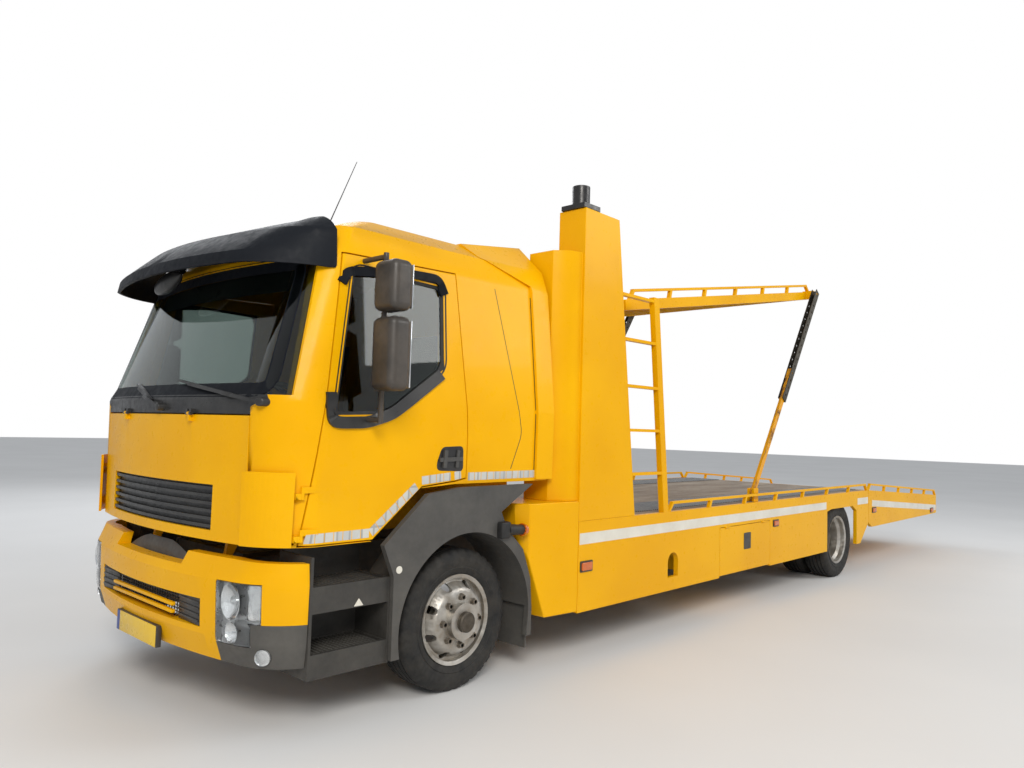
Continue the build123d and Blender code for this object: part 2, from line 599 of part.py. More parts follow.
bumper_rows = [(-1345, -1255, 850, -1045, 1140, 350), (-1384, -1292, 860, -1045, 1155, 470),
               (-1394, -1302, 860, -1045, 1160, 745), (-1338, -1248, 850, -1045, 1150, 850)]
bumper_wall = 60
bumper_solid = loft([bumper_face(*row) for row in bumper_rows], ruled=True)
bumper_hollow = loft([bumper_face(f + bumper_wall, c + bumper_wall, h - 50, s0, w - bumper_wall, z)
                      for f, c, h, s0, w, z in [bumper_rows[0][:5] + (340,), bumper_rows[2][:5] + (640,),
                                                bumper_rows[3][:5] + (870,)]], ruled=True)
fog_x = -1200.0
fog_y = 1030.0
fog_z = 408.0
fog_turn = 40.0
fog_radius = 40.0
lamp_inner_y = 760.0
lamp_outer_y = 1030.0
lamp_low_outer_y = 985.0
lamp_top_z = 750.0
lamp_split_z = 560.0
lamp_bottom_z = 450.0
bumper_shell = bumper_solid - bumper_hollow
bumper = bumper_shell - box(-1500, -1100, -640, 640, 500, 640) - box(-1500, -1200, -430, 430, 785, 900)
bumper_arm = box(-1450, cab_tilt_x - 30, -rail_y - 20, -rail_y, 657, 700) & bumper_hollow
pieces["chassis_frame"] = chassis + bumper_arm + other_side(bumper_arm)
lamp_space = box(-1500, -1000, -lamp_outer_y - 1, -lamp_inner_y + 1, lamp_bottom_z - 1, lamp_top_z + 1)
corner_space = box(-1500, -1000, -1200, -lamp_inner_y, 340, lamp_split_z)
bumper = bumper - lamp_space - other_side(lamp_space) - corner_space - other_side(corner_space)
pieces["bumper"] = bumper
lamp = bumper_shell & box(-1500, -1000, -lamp_outer_y + 0.5, -lamp_inner_y - 0.5, lamp_split_z, lamp_top_z - 0.5)
lamp = lamp + (bumper_shell & box(-1500, -1000, -lamp_low_outer_y, -lamp_inner_y - 0.5, lamp_bottom_z, lamp_split_z))
pieces["headlamps"] = group([lamp, other_side(lamp)])
corner_piece = bumper_shell & box(-1500, -1000, -1200, -lamp_inner_y - 0.3, 350, lamp_split_z - 0.3)
corner_piece = corner_piece - box(-1500, -1000, -lamp_low_outer_y - 0.3, -700, lamp_bottom_z - 0.3, 600)
fog_place = Pos(fog_x, -fog_y, fog_z) * Rot(0, 90, 0) * Rot(-fog_turn, 0, 0)
corner_piece = corner_piece - fog_place * Cylinder(fog_radius, 260)
grid = box(-1325, -1310, -660, 660, 485, 655) & bumper_hollow
mesh_top = box(-1290, -1275, -425, 425, 700, 900) & bumper_hollow
mesh_stay = box(-1312, -1288, -20, 20, 648, 720) & bumper_hollow
pieces["bumper_trim"] = group([corner_piece, other_side(corner_piece), grid + mesh_top + mesh_stay])

step_front_x = -1042.0
step_rear_x = -560.3
step_outer_y = 1165.0
step_inner_y = 872.0
steps = box(step_front_x, step_rear_x, -step_inner_y - 14, -step_inner_y, 290, 912)
for z, lip in step_rows:
    steps = steps + box(step_front_x, step_rear_x, -step_outer_y, -step_inner_y, z - lip, z)
    steps = steps - box(step_front_x + 45, step_rear_x - 25, -step_outer_y + 25, -step_inner_y - 20, z - 12, z + 1)
steps = steps + box(step_front_x - 2, step_front_x + 14, -step_outer_y, -step_inner_y, 290, 880)
steps = steps + box(step_rear_x - 12, step_rear_x, -step_outer_y - 5, -step_inner_y, 290, 735)

guard_outline = [(-560, 300), (-560, 740), (-630, 905), (-335, 1160), (-85, 1188), (530, 1190), (250, 1030),
                 (300, 930), (452, 790), (528, 600), (545, 420), (545, 250), (505, 250), (505, 300)]
guard = plate_xz(guard_outline, -1196, -1160)
guard = guard - rod_y(0, tyre_radius, 515, -1400, -800)
arch_ring = rod_y(0, tyre_radius, 530, -1161, -830) - rod_y(0, tyre_radius, 515, -1400, -700)
arch_ring = arch_ring & box(-530, 530, -1200, -800, 430, 1000)
guard = guard + arch_ring
flap = box(541, 553, -1150, -850, 160, 560)
guard = guard + flap + box(505, 553, -1165, -1100, 530, 560)
pieces["steps"] = group([steps, other_side(steps)])
pieces["mudguards"] = group([guard, other_side(guard)])

mirror_rows = [(2110.0, 2370.0), (1705.0, 2080.0)]
mirror_x0 = -805.0
mirror_x1 = -672.0
mirror_stem_x = -738.0
mirror_stem_y = 1262.0
mirror_arm_z = [1558.0, 2400.0]


def door_mirrors(side):
    """Both mirrors of one door on their stem; side is -1 at the left."""
    unit = rod_z(mirror_stem_x, side * mirror_stem_y, 14, mirror_arm_z[0] - 20, mirror_arm_z[1] + 20)
    for z in mirror_arm_z:
        ends = sorted([side * (mirror_stem_y + 2), side * (cab_half(z - 14) + running_gap)])
        unit = unit + rod_y(mirror_stem_x, z, 14, ends[0], ends[1])
    for z0, z1 in mirror_rows:
        ends = sorted([side * (mirror_stem_y - 25), side * (mirror_stem_y + 158)])
        unit = unit + fillet(box(mirror_x0, mirror_x1, ends[0], ends[1], z0, z1).edges(), 40)
    return unit


pieces["mirror_left"] = door_mirrors(-1)
pieces["mirror_right"] = door_mirrors(1)
for name in ("door", "door_glass"):
    pieces[name + "_right"] = other_side(pieces[name + "_left"])

# Transporter body
deck_front_x = 765.0
bearer_half = 30.0
frame_edge_y = body_half - skirt_wall
body_frame = []
for side in (-1, 1):
    y = side * rail_y
    body_frame.append(box(deck_front_x + 20, seam_x - 60, y - bearer_half, y + bearer_half, rail_top_z, deck_top_z - deck_floor))
bearer_spans = [(-frame_edge_y, -rail_y - bearer_half - seat_gap), (-rail_y + bearer_half + seat_gap, rail_y - bearer_half - seat_gap),
                (rail_y + bearer_half + seat_gap, frame_edge_y)]
for x in [980.0, 1700.0, 2500.0, 3300.0, 4100.0, 4900.0, 6430.0]:
    for y0, y1 in bearer_spans:
        body_frame.append(box(x - 30, x + 30, y0, y1, rail_top_z + 10, deck_top_z - deck_floor))
pieces["body_frame"] = group(body_frame)
track_inner_y = 690.0
track_outer_y = 1105.0
track_height = 5.0
deck = box(deck_front_x, seam_x - 4, -body_half + skirt_wall, body_half - skirt_wall, deck_top_z - deck_floor, deck_top_z)
pieces["lower_deck"] = deck
track = box(column_foot_x + 40, seam_x - 10, -track_outer_y, -track_inner_y, deck_top_z, deck_top_z + track_height)
pieces["wheel_tracks"] = group([track, other_side(track)])

skirt_outline = [(column_front_x, skirt_bottom_z), (arch_front_x, skirt_bottom_z), (arch_front_x, arch_top_z - 120),
                 (arch_front_x + 120, arch_top_z - 100), (arch_rear_x - 120, arch_top_z - 100),
                 (arch_rear_x, arch_top_z - 160), (arch_rear_x, skirt_bottom_z), (6240, skirt_bottom_z),
                 (seam_x + 20, 560), (seam_x - 4, deck_top_z), (column_front_x, deck_top_z)]
skirt = plate_xz(skirt_outline, -body_half, -body_half + skirt_wall)
box_gap = 5.0
skirt = skirt - box(toolbox[0] - box_gap, toolbox[1] + box_gap, -1300, -1000, toolbox[2] - 60, toolbox[3] + box_gap)
hole = rod_y(2135, 540, 75, -1300, -1100) + box(2060, 2210, -1300, -1100, 430, 540)
skirt = skirt - hole
toolbox_door = box(toolbox[0], toolbox[1], -body_half, -body_half + skirt_wall - running_gap, toolbox[2], toolbox[3])
for x in (toolbox[0] + 130, toolbox[1] - 130):
    toolbox_door = toolbox_door - rod_x(-body_half, toolbox[3], hinge_eye_radius + 2, x - 42, x)
    toolbox_door = toolbox_door + rod_x(-body_half, toolbox[3], hinge_eye_radius, x, x + 40)
    toolbox_door = toolbox_door - rod_x(-body_half, toolbox[3], hinge_pin_radius + bore_gap, x - 42, x + 42)
    skirt = skirt - rod_x(-body_half, toolbox[3], hinge_eye_radius + 2, x - running_gap, x + 42)
    skirt = skirt + rod_x(-body_half, toolbox[3], hinge_eye_radius, x - 40, x - running_gap)
    skirt = skirt + rod_x(-body_half, toolbox[3], hinge_pin_radius, x - 40, x + 38)
pieces["toolbox_door_left"] = toolbox_door
pieces["toolbox_door_right"] = other_side(toolbox_door)
tool_shell = box(toolbox[0] - 20, toolbox[1] + 20, -body_half + skirt_wall, -700, 340, 800)
tool_shell = tool_shell - box(toolbox[0], toolbox[1], -1300, -720, 360, 780)

locker_top_z = 1065.0
locker = plate_xy([(440, -840), (440, -1110), (505, -1200), (column_front_x - 0.3, -body_half), (column_front_x - 0.3, -840)], 340, locker_top_z)
locker = locker - plate_xz([(300, 330), (300, 1200), (440, 1200), (455, 850), (650, 330)], -1300, -600)
locker = locker - box(680, 900, -1150, -600, 300, 1030)
locker = locker - box(700, 2000, -body_half + skirt_wall - running_gap, -600, 860, 950)


skirt = skirt + tool_shell
pieces["side_skirts"] = group([skirt, other_side(skirt)])
pieces["side_lockers"] = group([locker, other_side(locker)])


def side_rail(x0, x1, z0, z1, y0, y1, pitch):
    """A low rail with slanted posts, from x0 to x1."""
    slope = (z1 - z0) / (x1 - x0)
    height = rail_height
    bar = plate_xz([(x0 + 60, z0 + height), (x1 - 60, z1 + height), (x1 - 60, z1 + height - 22), (x0 + 60, z0 + height - 22)], y0, y1)
    posts = max(2, int((x1 - x0) / pitch))
    for i in range(posts + 1):
        x = x0 + (x1 - x0) * i / posts
        lean = 60 if i == 0 else (-60 if i == posts else 30)
        z = z0 + slope * (x - x0)
        width = 30 if i < posts else -30
        top = z + height - 10 + slope * lean
        post = plate_xz([(x, z), (x + width, z + slope * width), (x + lean + width, top + slope * width),
                         (x + lean, top)], y0, y1)
        bar = bar + post
    return bar


rail_left = side_rail(2060, seam_x - 10, deck_top_z, deck_top_z, -body_half, -body_half + 30, 560)

tail_drop = deck_top_z - tail_end_top_z
tail_length = tail_end_x - seam_x
tail_side = plate_xz([(seam_x + 30, 540), (seam_x + 6, deck_top_z), (tail_end_x, tail_end_top_z), (tail_end_x, tail_end_bottom_z), (seam_x + 130, 490)],
                     -body_half, -body_half + skirt_wall)
tail_floor = plate_xz([(seam_x + 6, deck_top_z - deck_floor), (seam_x + 6, deck_top_z), (tail_end_x, tail_end_top_z), (tail_end_x, tail_end_top_z - deck_floor)],
                      -body_half + skirt_wall, body_half - skirt_wall)
tail = tail_side + other_side(tail_side) + tail_floor
tail_beam = plate_xz([(tail_hinge_x - 40, tail_hinge_z - 45), (tail_hinge_x - 60, deck_top_z - deck_floor + 5),
                      (tail_end_x, tail_end_top_z - deck_floor + 10), (tail_end_x, tail_end_top_z - 160),
                      (tail_hinge_x + 60, tail_hinge_z - 45)], -rail_y, -rail_y + 60)
tail_beam = tail_beam - rod_y(tail_hinge_x, tail_hinge_z, tail_pin_radius + 0.05, -rail_y - 10, -rail_y + 80)
tail = tail + tail_beam + other_side(tail_beam)
tail = tail + box(tail_end_x - 60, tail_end_x, -body_half + skirt_wall, body_half - skirt_wall, tail_end_bottom_z + 20, tail_end_top_z - deck_floor + 10)
tail_rail = side_rail(seam_x + 10, tail_end_x - 5, deck_top_z, tail_end_top_z, -body_half, -body_half + 30, 560)
pieces["tail_deck"] = tail + tail_rail + other_side(tail_rail)

tail_lamp = fillet(box(tail_end_x + running_gap, tail_end_x + 38, -body_half + 60, -body_half + 420, 560, 660).edges().filter_by(Axis.X), 18)
pieces["tail_lamps"] = group([tail_lamp, other_side(tail_lamp)])

# Columns
column_outline = [(column_front_x, deck_top_z), (column_front_x, column_top_z + 5), (column_top_x, column_top_z), (column_foot_x, deck_top_z)]
column = plate_xz(column_outline, -body_half, -column_inner_y)
hollow = plate_xz([(column_front_x + column_wall, deck_top_z - 10), (column_front_x + column_wall, column_top_z - 10),
                   (column_top_x - column_wall, column_top_z - 10), (column_foot_x - column_wall, deck_top_z - 10)],
                  -body_half + column_wall, -column_inner_y - column_wall)
slot = box(pivot_x - 50, pivot_x + 50, -column_inner_y - 20, -column_inner_y + 10, deck_top_z + 60, column_top_z - 200)
column = column - hollow - slot
casing = plate_xy([(770, -900), (770, -1110), (850, -1205), (column_front_x, -1225), (column_front_x, -900)], locker_top_z, 2745)
column = column + casing
pieces["columns"] = group([column, other_side(column)])
beacon = rod_z(1010, -1150, 62, column_top_z + 40, column_top_z + 175) + box(930, 1110, -1245, -1040, column_top_z + 5.3, column_top_z + 40)
pieces["beacon"] = beacon

ladder = plate_xz([(1990, deck_top_z), (2060, deck_top_z), (1875, 2560), (1805, 2560)], -body_half, -body_half + 45)
rung_z = [1241.0, 1560.0, 1881.0, 2219.0, 2540.0]
for z in rung_z:
    t = (z - deck_top_z) / (column_top_z - deck_top_z)
    x0 = column_foot_x + (column_top_x - column_foot_x) * t
    x1 = 1990 + (1805 - 1990) * (z - deck_top_z) / (2560 - deck_top_z)
    ladder = ladder + box(x0 + 4, x1 + 20, -body_half + 2, -body_half + 43, z - 22, z)
pieces["ladder"] = ladder

# Upper deck, drawn level about its pivot and then tilted
deck_bottom = 40.0
upper_beam = box(500, upper_length, -upper_half, -upper_half + 60, deck_bottom, deck_bottom + beam_height)
upper = upper_beam + other_side(upper_beam)
neck_end = 500.0
neck_beam = box(-60, neck_end - seat_gap, -upper_neck_half, -upper_neck_half + 60, deck_bottom - 60, deck_bottom + beam_height)
neck = neck_beam + other_side(neck_beam) + box(-60, 0, -upper_neck_half + 30, upper_neck_half - 30, deck_bottom, deck_bottom + beam_height - 12)
neck = neck - rod_y(0, 0, 30.05, -1200, 1200)
pieces["upper_neck"] = neck
for x in [neck_end, 1180.0, 1860.0, 2540.0, 3220.0, 3870.0]:
    upper = upper + box(x, x + 60, -upper_half, upper_half, deck_bottom, deck_bottom + beam_height - 12)
eye_bracket = box(upper_length - eye_back - 50, upper_length - 5, -strut_y + 26 + running_gap, -upper_half + 30,
                  eye_up - 50, eye_up + 40)
eye_bracket = eye_bracket + rod_y(upper_length - eye_back, eye_up, eye_pin_radius, -strut_y - 22, -upper_half)
upper = upper + eye_bracket + other_side(eye_bracket)
upper_floor = box(-60, upper_length - 2, -upper_neck_half + 62, upper_neck_half - 62, deck_bottom + beam_height - 11.7, deck_bottom + beam_height)
pieces["upper_floor"] = upper_floor
upper_rail = side_rail(560, upper_length, deck_bottom + beam_height, deck_bottom + beam_height, -upper_half, -upper_half + 30, 520)
pieces["upper_frame"] = upper + upper_rail + other_side(upper_rail)
for name in ("upper_frame", "upper_neck", "upper_floor"):
    pieces[name] = Pos(pivot_x, 0, pivot_z) * Rot(0, -upper_tilt, 0) * pieces[name]

carriage = box(pivot_x - 120, pivot_x + 60, -body_half + column_wall + running_gap, -column_inner_y - column_wall - running_gap, pivot_z - 120, pivot_z + 120)
carriage = carriage + rod_y(pivot_x, pivot_z, 30.0, -column_inner_y - 40, -upper_neck_half + 60)
pieces["lift_carriages"] = group([carriage, other_side(carriage)])

# Struts: a bar hinged on the lower deck's edge inside a channel that reaches the upper deck's rear corner
tilt = math.radians(upper_tilt)
eye_x = pivot_x + (upper_length - eye_back) * math.cos(tilt) - eye_up * math.sin(tilt)
eye_z = pivot_z + (upper_length - eye_back) * math.sin(tilt) + eye_up * math.cos(tilt)
strut_length = math.hypot(eye_x - foot_x, eye_z - foot_z)
strut_angle = math.degrees(math.atan2(eye_z - foot_z, eye_x - foot_x))


def strut_place(shape):
    """A strut piece drawn along X from its foot, stood up at its place."""
    return Pos(foot_x, 0, foot_z) * Rot(0, -strut_angle, 0) * shape


bar = box(-40, bar_length, -strut_y - 14, -strut_y + 14, -28, 28) + rod_y(0, 0, 40, -strut_y - 14, -strut_y + 14)
bar = bar + box(bar_length - slider_length, bar_length, -strut_y - 20 + running_gap, -strut_y + 20 - running_gap, -34 + running_gap, 30)
bar = bar - rod_y(0, 0, 16.05, -1300, -1000)
bar = strut_place(bar)
pieces["strut_bars"] = group([bar, other_side(bar)])
start = strut_length - channel_length
channel = box(start, strut_length + 35, -strut_y - 26, -strut_y + 26, -42, 38)
channel = channel - box(start - 10, strut_length + 50, -strut_y - 20, -strut_y + 20, -34, 60)
for i in range(strut_hole_count):
    hole_x = start + strut_hole_pitch * (i + 0.7)
    channel = channel - rod_y(hole_x, -4, 11, -strut_y - 40, -strut_y + 40)
channel = channel + rod_y(strut_length, 0, 30, -strut_y - 26, -strut_y + 26)
channel = strut_place(channel - rod_y(strut_length, 0, eye_pin_radius + bore_gap, -strut_y - 40, -strut_y + 40))
pieces["strut_channels"] = group([channel, other_side(channel)])
foot_bracket = box(foot_x - 45, foot_x + 45, -strut_y - 34, -strut_y - 14 - running_gap, deck_top_z, foot_z + 40) + box(
    foot_x - 45, foot_x + 45, -strut_y + 14 + running_gap, -strut_y + 34, deck_top_z, foot_z + 40)
foot_bracket = foot_bracket + rod_y(foot_x, foot_z, 16.0, -strut_y - 34, -strut_y + 34)
pieces["deck_rails"] = group([rail_left, other_side(rail_left), foot_bracket, other_side(foot_bracket)])

os.makedirs("parts", exist_ok=True)
for name, shape in pieces.items():
    solids = [Pos(x_shift, 0, 0) * solid for solid in shape.solids()]
    export_step(solids[0] if len(solids) == 1 else Compound(solids), "parts/" + name + ".step")
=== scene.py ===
import json
import math

import bmesh
import bpy
from mathutils import Matrix, Vector
from mathutils.bvhtree import BVHTree


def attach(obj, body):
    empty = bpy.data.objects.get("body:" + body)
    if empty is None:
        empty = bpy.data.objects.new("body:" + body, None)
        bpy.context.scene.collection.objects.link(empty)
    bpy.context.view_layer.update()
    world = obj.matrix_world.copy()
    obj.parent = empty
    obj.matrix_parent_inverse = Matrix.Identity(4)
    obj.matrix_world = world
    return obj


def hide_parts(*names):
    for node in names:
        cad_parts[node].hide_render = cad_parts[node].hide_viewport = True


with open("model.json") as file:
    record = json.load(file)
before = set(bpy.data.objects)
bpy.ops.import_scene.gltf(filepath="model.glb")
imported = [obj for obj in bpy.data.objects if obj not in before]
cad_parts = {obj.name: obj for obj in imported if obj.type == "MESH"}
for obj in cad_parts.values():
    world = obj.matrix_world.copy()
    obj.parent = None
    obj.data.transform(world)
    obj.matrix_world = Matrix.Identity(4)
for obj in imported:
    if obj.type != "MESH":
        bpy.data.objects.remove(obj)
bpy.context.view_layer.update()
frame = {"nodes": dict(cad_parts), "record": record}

# Places are in metres, with X counted from the front axle towards the tail
JOINTS = {row["name"]: row for row in frame["record"]["behaviour"]["joints"]}
AXLE_X = JOINTS["steer_left"]["pos_m"][0]


def at(x, y, z):
    """A place in the shared frame, given from the front axle."""
    return Vector((x + AXLE_X, y, z))


# Camera, at the photograph's place and angle
CAMERA_PLACE = (-3.175, -4.447, 1.526)
camera_data = bpy.data.cameras.new("camera")
camera_data.sensor_width = 36.0
camera_data.lens = 27.25
camera = bpy.data.objects.new("camera", camera_data)
bpy.context.collection.objects.link(camera)
yaw = math.radians(46.98)
pitch = math.radians(3.389)
roll = math.radians(1.615)
sight = Vector((math.sin(yaw) * math.cos(pitch), math.cos(yaw) * math.cos(pitch), math.sin(pitch)))
level = Vector((math.cos(yaw), -math.sin(yaw), 0.0))
upright = level.cross(sight)
right = level * math.cos(roll) + upright * math.sin(roll)
up = upright * math.cos(roll) - level * math.sin(roll)
turn = Matrix((right, up, -sight)).transposed()
camera.matrix_world = Matrix.Translation(at(*CAMERA_PLACE)) @ turn.to_4x4()
camera_data.clip_end = 200.0
bpy.context.scene.camera = camera
bpy.context.scene.view_settings.view_transform = "Standard"


# Finishes


class Finish:
    """A node material under construction."""

    def __init__(self, name):
        self.material = bpy.data.materials.new(name)
        self.material.use_nodes = True
        self.nodes = self.material.node_tree.nodes
        self.links = self.material.node_tree.links
        self.shader = self.nodes["Principled BSDF"]
        self.place = self.nodes.new("ShaderNodeTexCoord").outputs["Object"]

    def join(self, out, socket):
        self.links.new(out, socket)

    def noise(self, scale, detail=4.0, rough=0.55, stretch=None):
        node = self.nodes.new("ShaderNodeTexNoise")
        node.inputs["Scale"].default_value = scale
        node.inputs["Detail"].default_value = detail
        node.inputs["Roughness"].default_value = rough
        self.join(self.stretched(stretch), node.inputs["Vector"])
        return node.outputs["Fac"]

    def stretched(self, stretch):
        if stretch is None:
            return self.place
        node = self.nodes.new("ShaderNodeMapping")
        node.inputs["Scale"].default_value = stretch
        self.join(self.place, node.inputs["Vector"])
        return node.outputs["Vector"]

    def span(self, value, low, high, out_low, out_high):
        node = self.nodes.new("ShaderNodeMapRange")
        self.join(value, node.inputs["Value"])
        for key, number in (("From Min", low), ("From Max", high), ("To Min", out_low), ("To Max", out_high)):
            node.inputs[key].default_value = number
        return node.outputs["Result"]

    def ramp(self, value, *stops):
        node = self.nodes.new("ShaderNodeValToRGB")
        stair = node.color_ramp.elements
        while len(stair) < len(stops):
            stair.new(0.5)
        for element, (position, colour) in zip(stair, stops):
            element.position = position
            element.color = (*colour, 1.0)
        self.join(value, node.inputs["Fac"])
        return node.outputs["Color"]

    def mix(self, factor, first, second):
        node = self.nodes.new("ShaderNodeMix")
        node.data_type = "RGBA"
        self.join(factor, node.inputs["Factor"])
        for socket, value in ((node.inputs[6], first), (node.inputs[7], second)):
            if isinstance(value, tuple):
                socket.default_value = (*value, 1.0)
            else:
                self.join(value, socket)
        return node.outputs[2]

    def times(self, first, second):
        node = self.nodes.new("ShaderNodeMath")
        node.operation = "MULTIPLY"
        node.use_clamp = True
        for socket, value in zip(node.inputs, (first, second)):
            if isinstance(value, float):
                socket.default_value = value
            else:
                self.join(value, socket)
        return node.outputs[0]

    def height(self, low, high):
        """From 1 at the low height down to 0 at the high one."""
        node = self.nodes.new("ShaderNodeSeparateXYZ")
        self.join(self.place, node.inputs[0])
        return self.span(node.outputs["Z"], low, high, 1.0, 0.0)

    def bump(self, value, depth, strength=0.5):
        node = self.nodes.new("ShaderNodeBump")
        node.inputs["Distance"].default_value = depth
        node.inputs["Strength"].default_value = strength
        self.join(value, node.inputs["Height"])
        self.join(node.outputs["Normal"], self.shader.inputs["Normal"])

    def set(self, **values):
        for key, value in values.items():
            self.shader.inputs[key.replace("_", " ")].default_value = value


DUST = (0.36, 0.31, 0.24)


def paint(name, colour, deep, rough=0.30, dust=0.02, coat=0.06, shine=0.10):
    """Sprayed gloss paint, with a faint orange peel and road dust low down."""
    f = Finish(name)
    broad = f.noise(1.3, 3.0)
    tone = f.ramp(broad, (0.35, deep), (0.62, colour))
    film = f.times(f.times(f.height(0.25, 1.25), f.noise(7.0, 6.0, 0.65)), dust)
    f.join(f.mix(film, tone, DUST), f.shader.inputs["Base Color"])
    f.join(f.span(f.noise(24.0, 5.0), 0.3, 0.7, rough - 0.06, rough + 0.12), f.shader.inputs["Roughness"])
    f.bump(f.noise(420.0, 1.0), 0.0004, 0.12)
    f.set(Coat_Weight=coat, Coat_Roughness=0.08, Specular_IOR_Level=shine)
    return f.material


def rusted(name, colour, rust):
    """Worn paint on steel, with rust in patches."""
    f = Finish(name)
    worn = f.span(f.noise(3.5, 8.0, 0.7, (1.0, 6.0, 1.0)), 0.50, 0.60, 0.0, 1.0)
    brown = f.ramp(f.noise(60.0, 6.0, 0.7), (0.35, rust), (0.7, (0.22, 0.095, 0.03)))
    f.join(f.mix(worn, colour, brown), f.shader.inputs["Base Color"])
    f.join(f.span(worn, 0.0, 1.0, 0.35, 0.85), f.shader.inputs["Roughness"])
    f.bump(worn, 0.0008, 0.5)
    return f.material


def punched(name, colour, pitch=0.03, hole=0.32):
    """Zinc sheet with rows of round holes, painted nearly black inside as painted shade."""
    f = Finish(name)
    split = f.nodes.new("ShaderNodeSeparateXYZ")
    f.join(f.place, split.inputs[0])
    away = []
    for axis in ("X", "Y"):
        cell = f.nodes.new("ShaderNodeMath")
        cell.operation = "PINGPONG"
        cell.inputs[1].default_value = pitch / 2
        f.join(split.outputs[axis], cell.inputs[0])
        square = f.nodes.new("ShaderNodeMath")
        square.operation = "POWER"
        square.inputs[1].default_value = 2.0
        f.join(cell.outputs[0], square.inputs[0])
        away.append(square.outputs[0])
    total = f.nodes.new("ShaderNodeMath")
    f.join(away[0], total.inputs[0])
    f.join(away[1], total.inputs[1])
    rim = (pitch * hole) ** 2
    inside = f.span(total.outputs[0], rim * 0.85, rim * 1.1, 1.0, 0.0)
    tone = f.ramp(f.noise(7.0, 6.0, 0.65), (0.3, tuple(0.6 * value for value in colour)), (0.7, colour))
    # The holes are painted nearly black: painted shade for the dark seen through them
    f.join(f.mix(inside, tone, (0.03, 0.027, 0.024)), f.shader.inputs["Base Color"])
    f.join(f.span(f.noise(30.0, 4.0), 0.3, 0.7, 0.4, 0.65), f.shader.inputs["Roughness"])
    f.bump(inside, -0.002, 0.8)
    f.set(Metallic=0.5)
    return f.material


def lensed(name, colour, rough=0.12, lines=260.0):
    """A moulded lamp lens with fine flutes."""
    f = Finish(name)
    flutes = f.nodes.new("ShaderNodeTexWave")
    flutes.inputs["Scale"].default_value = lines
    f.join(f.place, flutes.inputs["Vector"])
    deep = tuple(0.5 * value for value in colour)
    f.join(f.ramp(flutes.outputs["Fac"], (0.2, deep), (0.8, colour)), f.shader.inputs["Base Color"])
    f.join(f.span(f.noise(40.0), 0.3, 0.7, rough, rough + 0.15), f.shader.inputs["Roughness"])
    f.bump(flutes.outputs["Fac"], 0.0008, 0.4)
    f.set(Coat_Weight=0.8)
    return f.material


def grained(name, colour, worn, rough=0.62, grain=900.0, dust=0.3, depth=0.0006):
    """Moulded plastic with a fine grain, paler where it is worn."""
    f = Finish(name)
    tone = f.ramp(f.noise(5.0, 6.0, 0.6), (0.35, colour), (0.72, worn))
    film = f.times(f.times(f.height(0.1, 1.3), f.noise(11.0, 6.0, 0.7)), dust)
    f.join(f.mix(film, tone, DUST), f.shader.inputs["Base Color"])
    f.join(f.span(f.noise(30.0, 4.0), 0.3, 0.7, rough - 0.12, rough + 0.12), f.shader.inputs["Roughness"])
    f.bump(f.noise(grain, 2.0), depth, 0.35)
    return f.material


def metal(name, colour, dull, rough=0.4, scale=14.0, dust=0.3, depth=0.0004):
    """Bare or silvered metal with dull patches and dust."""
    f = Finish(name)
    tone = f.ramp(f.noise(scale, 6.0, 0.6), (0.32, dull), (0.68, colour))
    film = f.times(f.times(f.height(0.0, 1.4), f.noise(16.0, 6.0, 0.7)), dust)
    f.join(f.mix(film, tone, DUST), f.shader.inputs["Base Color"])
    f.join(f.span(f.noise(40.0, 4.0), 0.3, 0.7, rough - 0.1, rough + 0.15), f.shader.inputs["Roughness"])
    f.bump(f.noise(scale * 16.0, 3.0), depth, 0.3)
    f.set(Metallic=0.85)
    return f.material


def spangled(name, colour, dull):
    """Hot dipped zinc, with its angular crystals."""
    f = Finish(name)
    cells = f.nodes.new("ShaderNodeTexVoronoi")
    cells.inputs["Scale"].default_value = 55.0
    f.join(f.place, cells.inputs["Vector"])
    shade = f.nodes.new("ShaderNodeSeparateColor")
    f.join(cells.outputs["Color"], shade.inputs["Color"])
    tone = f.ramp(shade.outputs["Red"], (0.1, dull), (0.9, colour))
    worn = f.times(f.noise(6.0, 6.0, 0.7), 0.35)
    f.join(f.mix(worn, tone, DUST), f.shader.inputs["Base Color"])
    f.join(f.span(shade.outputs["Green"], 0.0, 1.0, 0.32, 0.55), f.shader.inputs["Roughness"])
    f.bump(f.noise(130.0, 3.0), 0.0005, 0.3)
    f.set(Metallic=0.8)
    return f.material


def boarded(name):
    """Resin faced board, scuffed along the cars' way."""
    f = Finish(name)
    grain = f.noise(3.0, 8.0, 0.65, (0.35, 1.6, 1.0))
    tone = f.ramp(grain, (0.3, (0.17, 0.125, 0.09)), (0.5, (0.27, 0.21, 0.155)), (0.72, (0.40, 0.335, 0.26)))
    scuff = f.times(f.span(f.noise(9.0, 8.0, 0.7, (0.12, 3.0, 1.0)), 0.55, 0.68, 0.0, 1.0), 0.45)
    f.join(f.mix(scuff, tone, (0.52, 0.47, 0.39)), f.shader.inputs["Base Color"])
    f.join(f.span(f.noise(20.0, 5.0), 0.3, 0.7, 0.55, 0.8), f.shader.inputs["Roughness"])
    f.bump(f.noise(260.0, 3.0), 0.0012, 0.5)
    return f.material


def rubbery(name, colour, dusty, rough=0.75, depth=0.0012):
    """Tyre or seal rubber with dust in its pores."""
    f = Finish(name)
    tone = f.ramp(f.noise(9.0, 7.0, 0.65), (0.38, colour), (0.75, dusty))
    f.join(tone, f.shader.inputs["Base Color"])
    f.join(f.span(f.noise(25.0, 4.0), 0.3, 0.7, rough - 0.12, rough + 0.1), f.shader.inputs["Roughness"])
    f.bump(f.noise(300.0, 3.0), depth, 0.4)
    return f.material


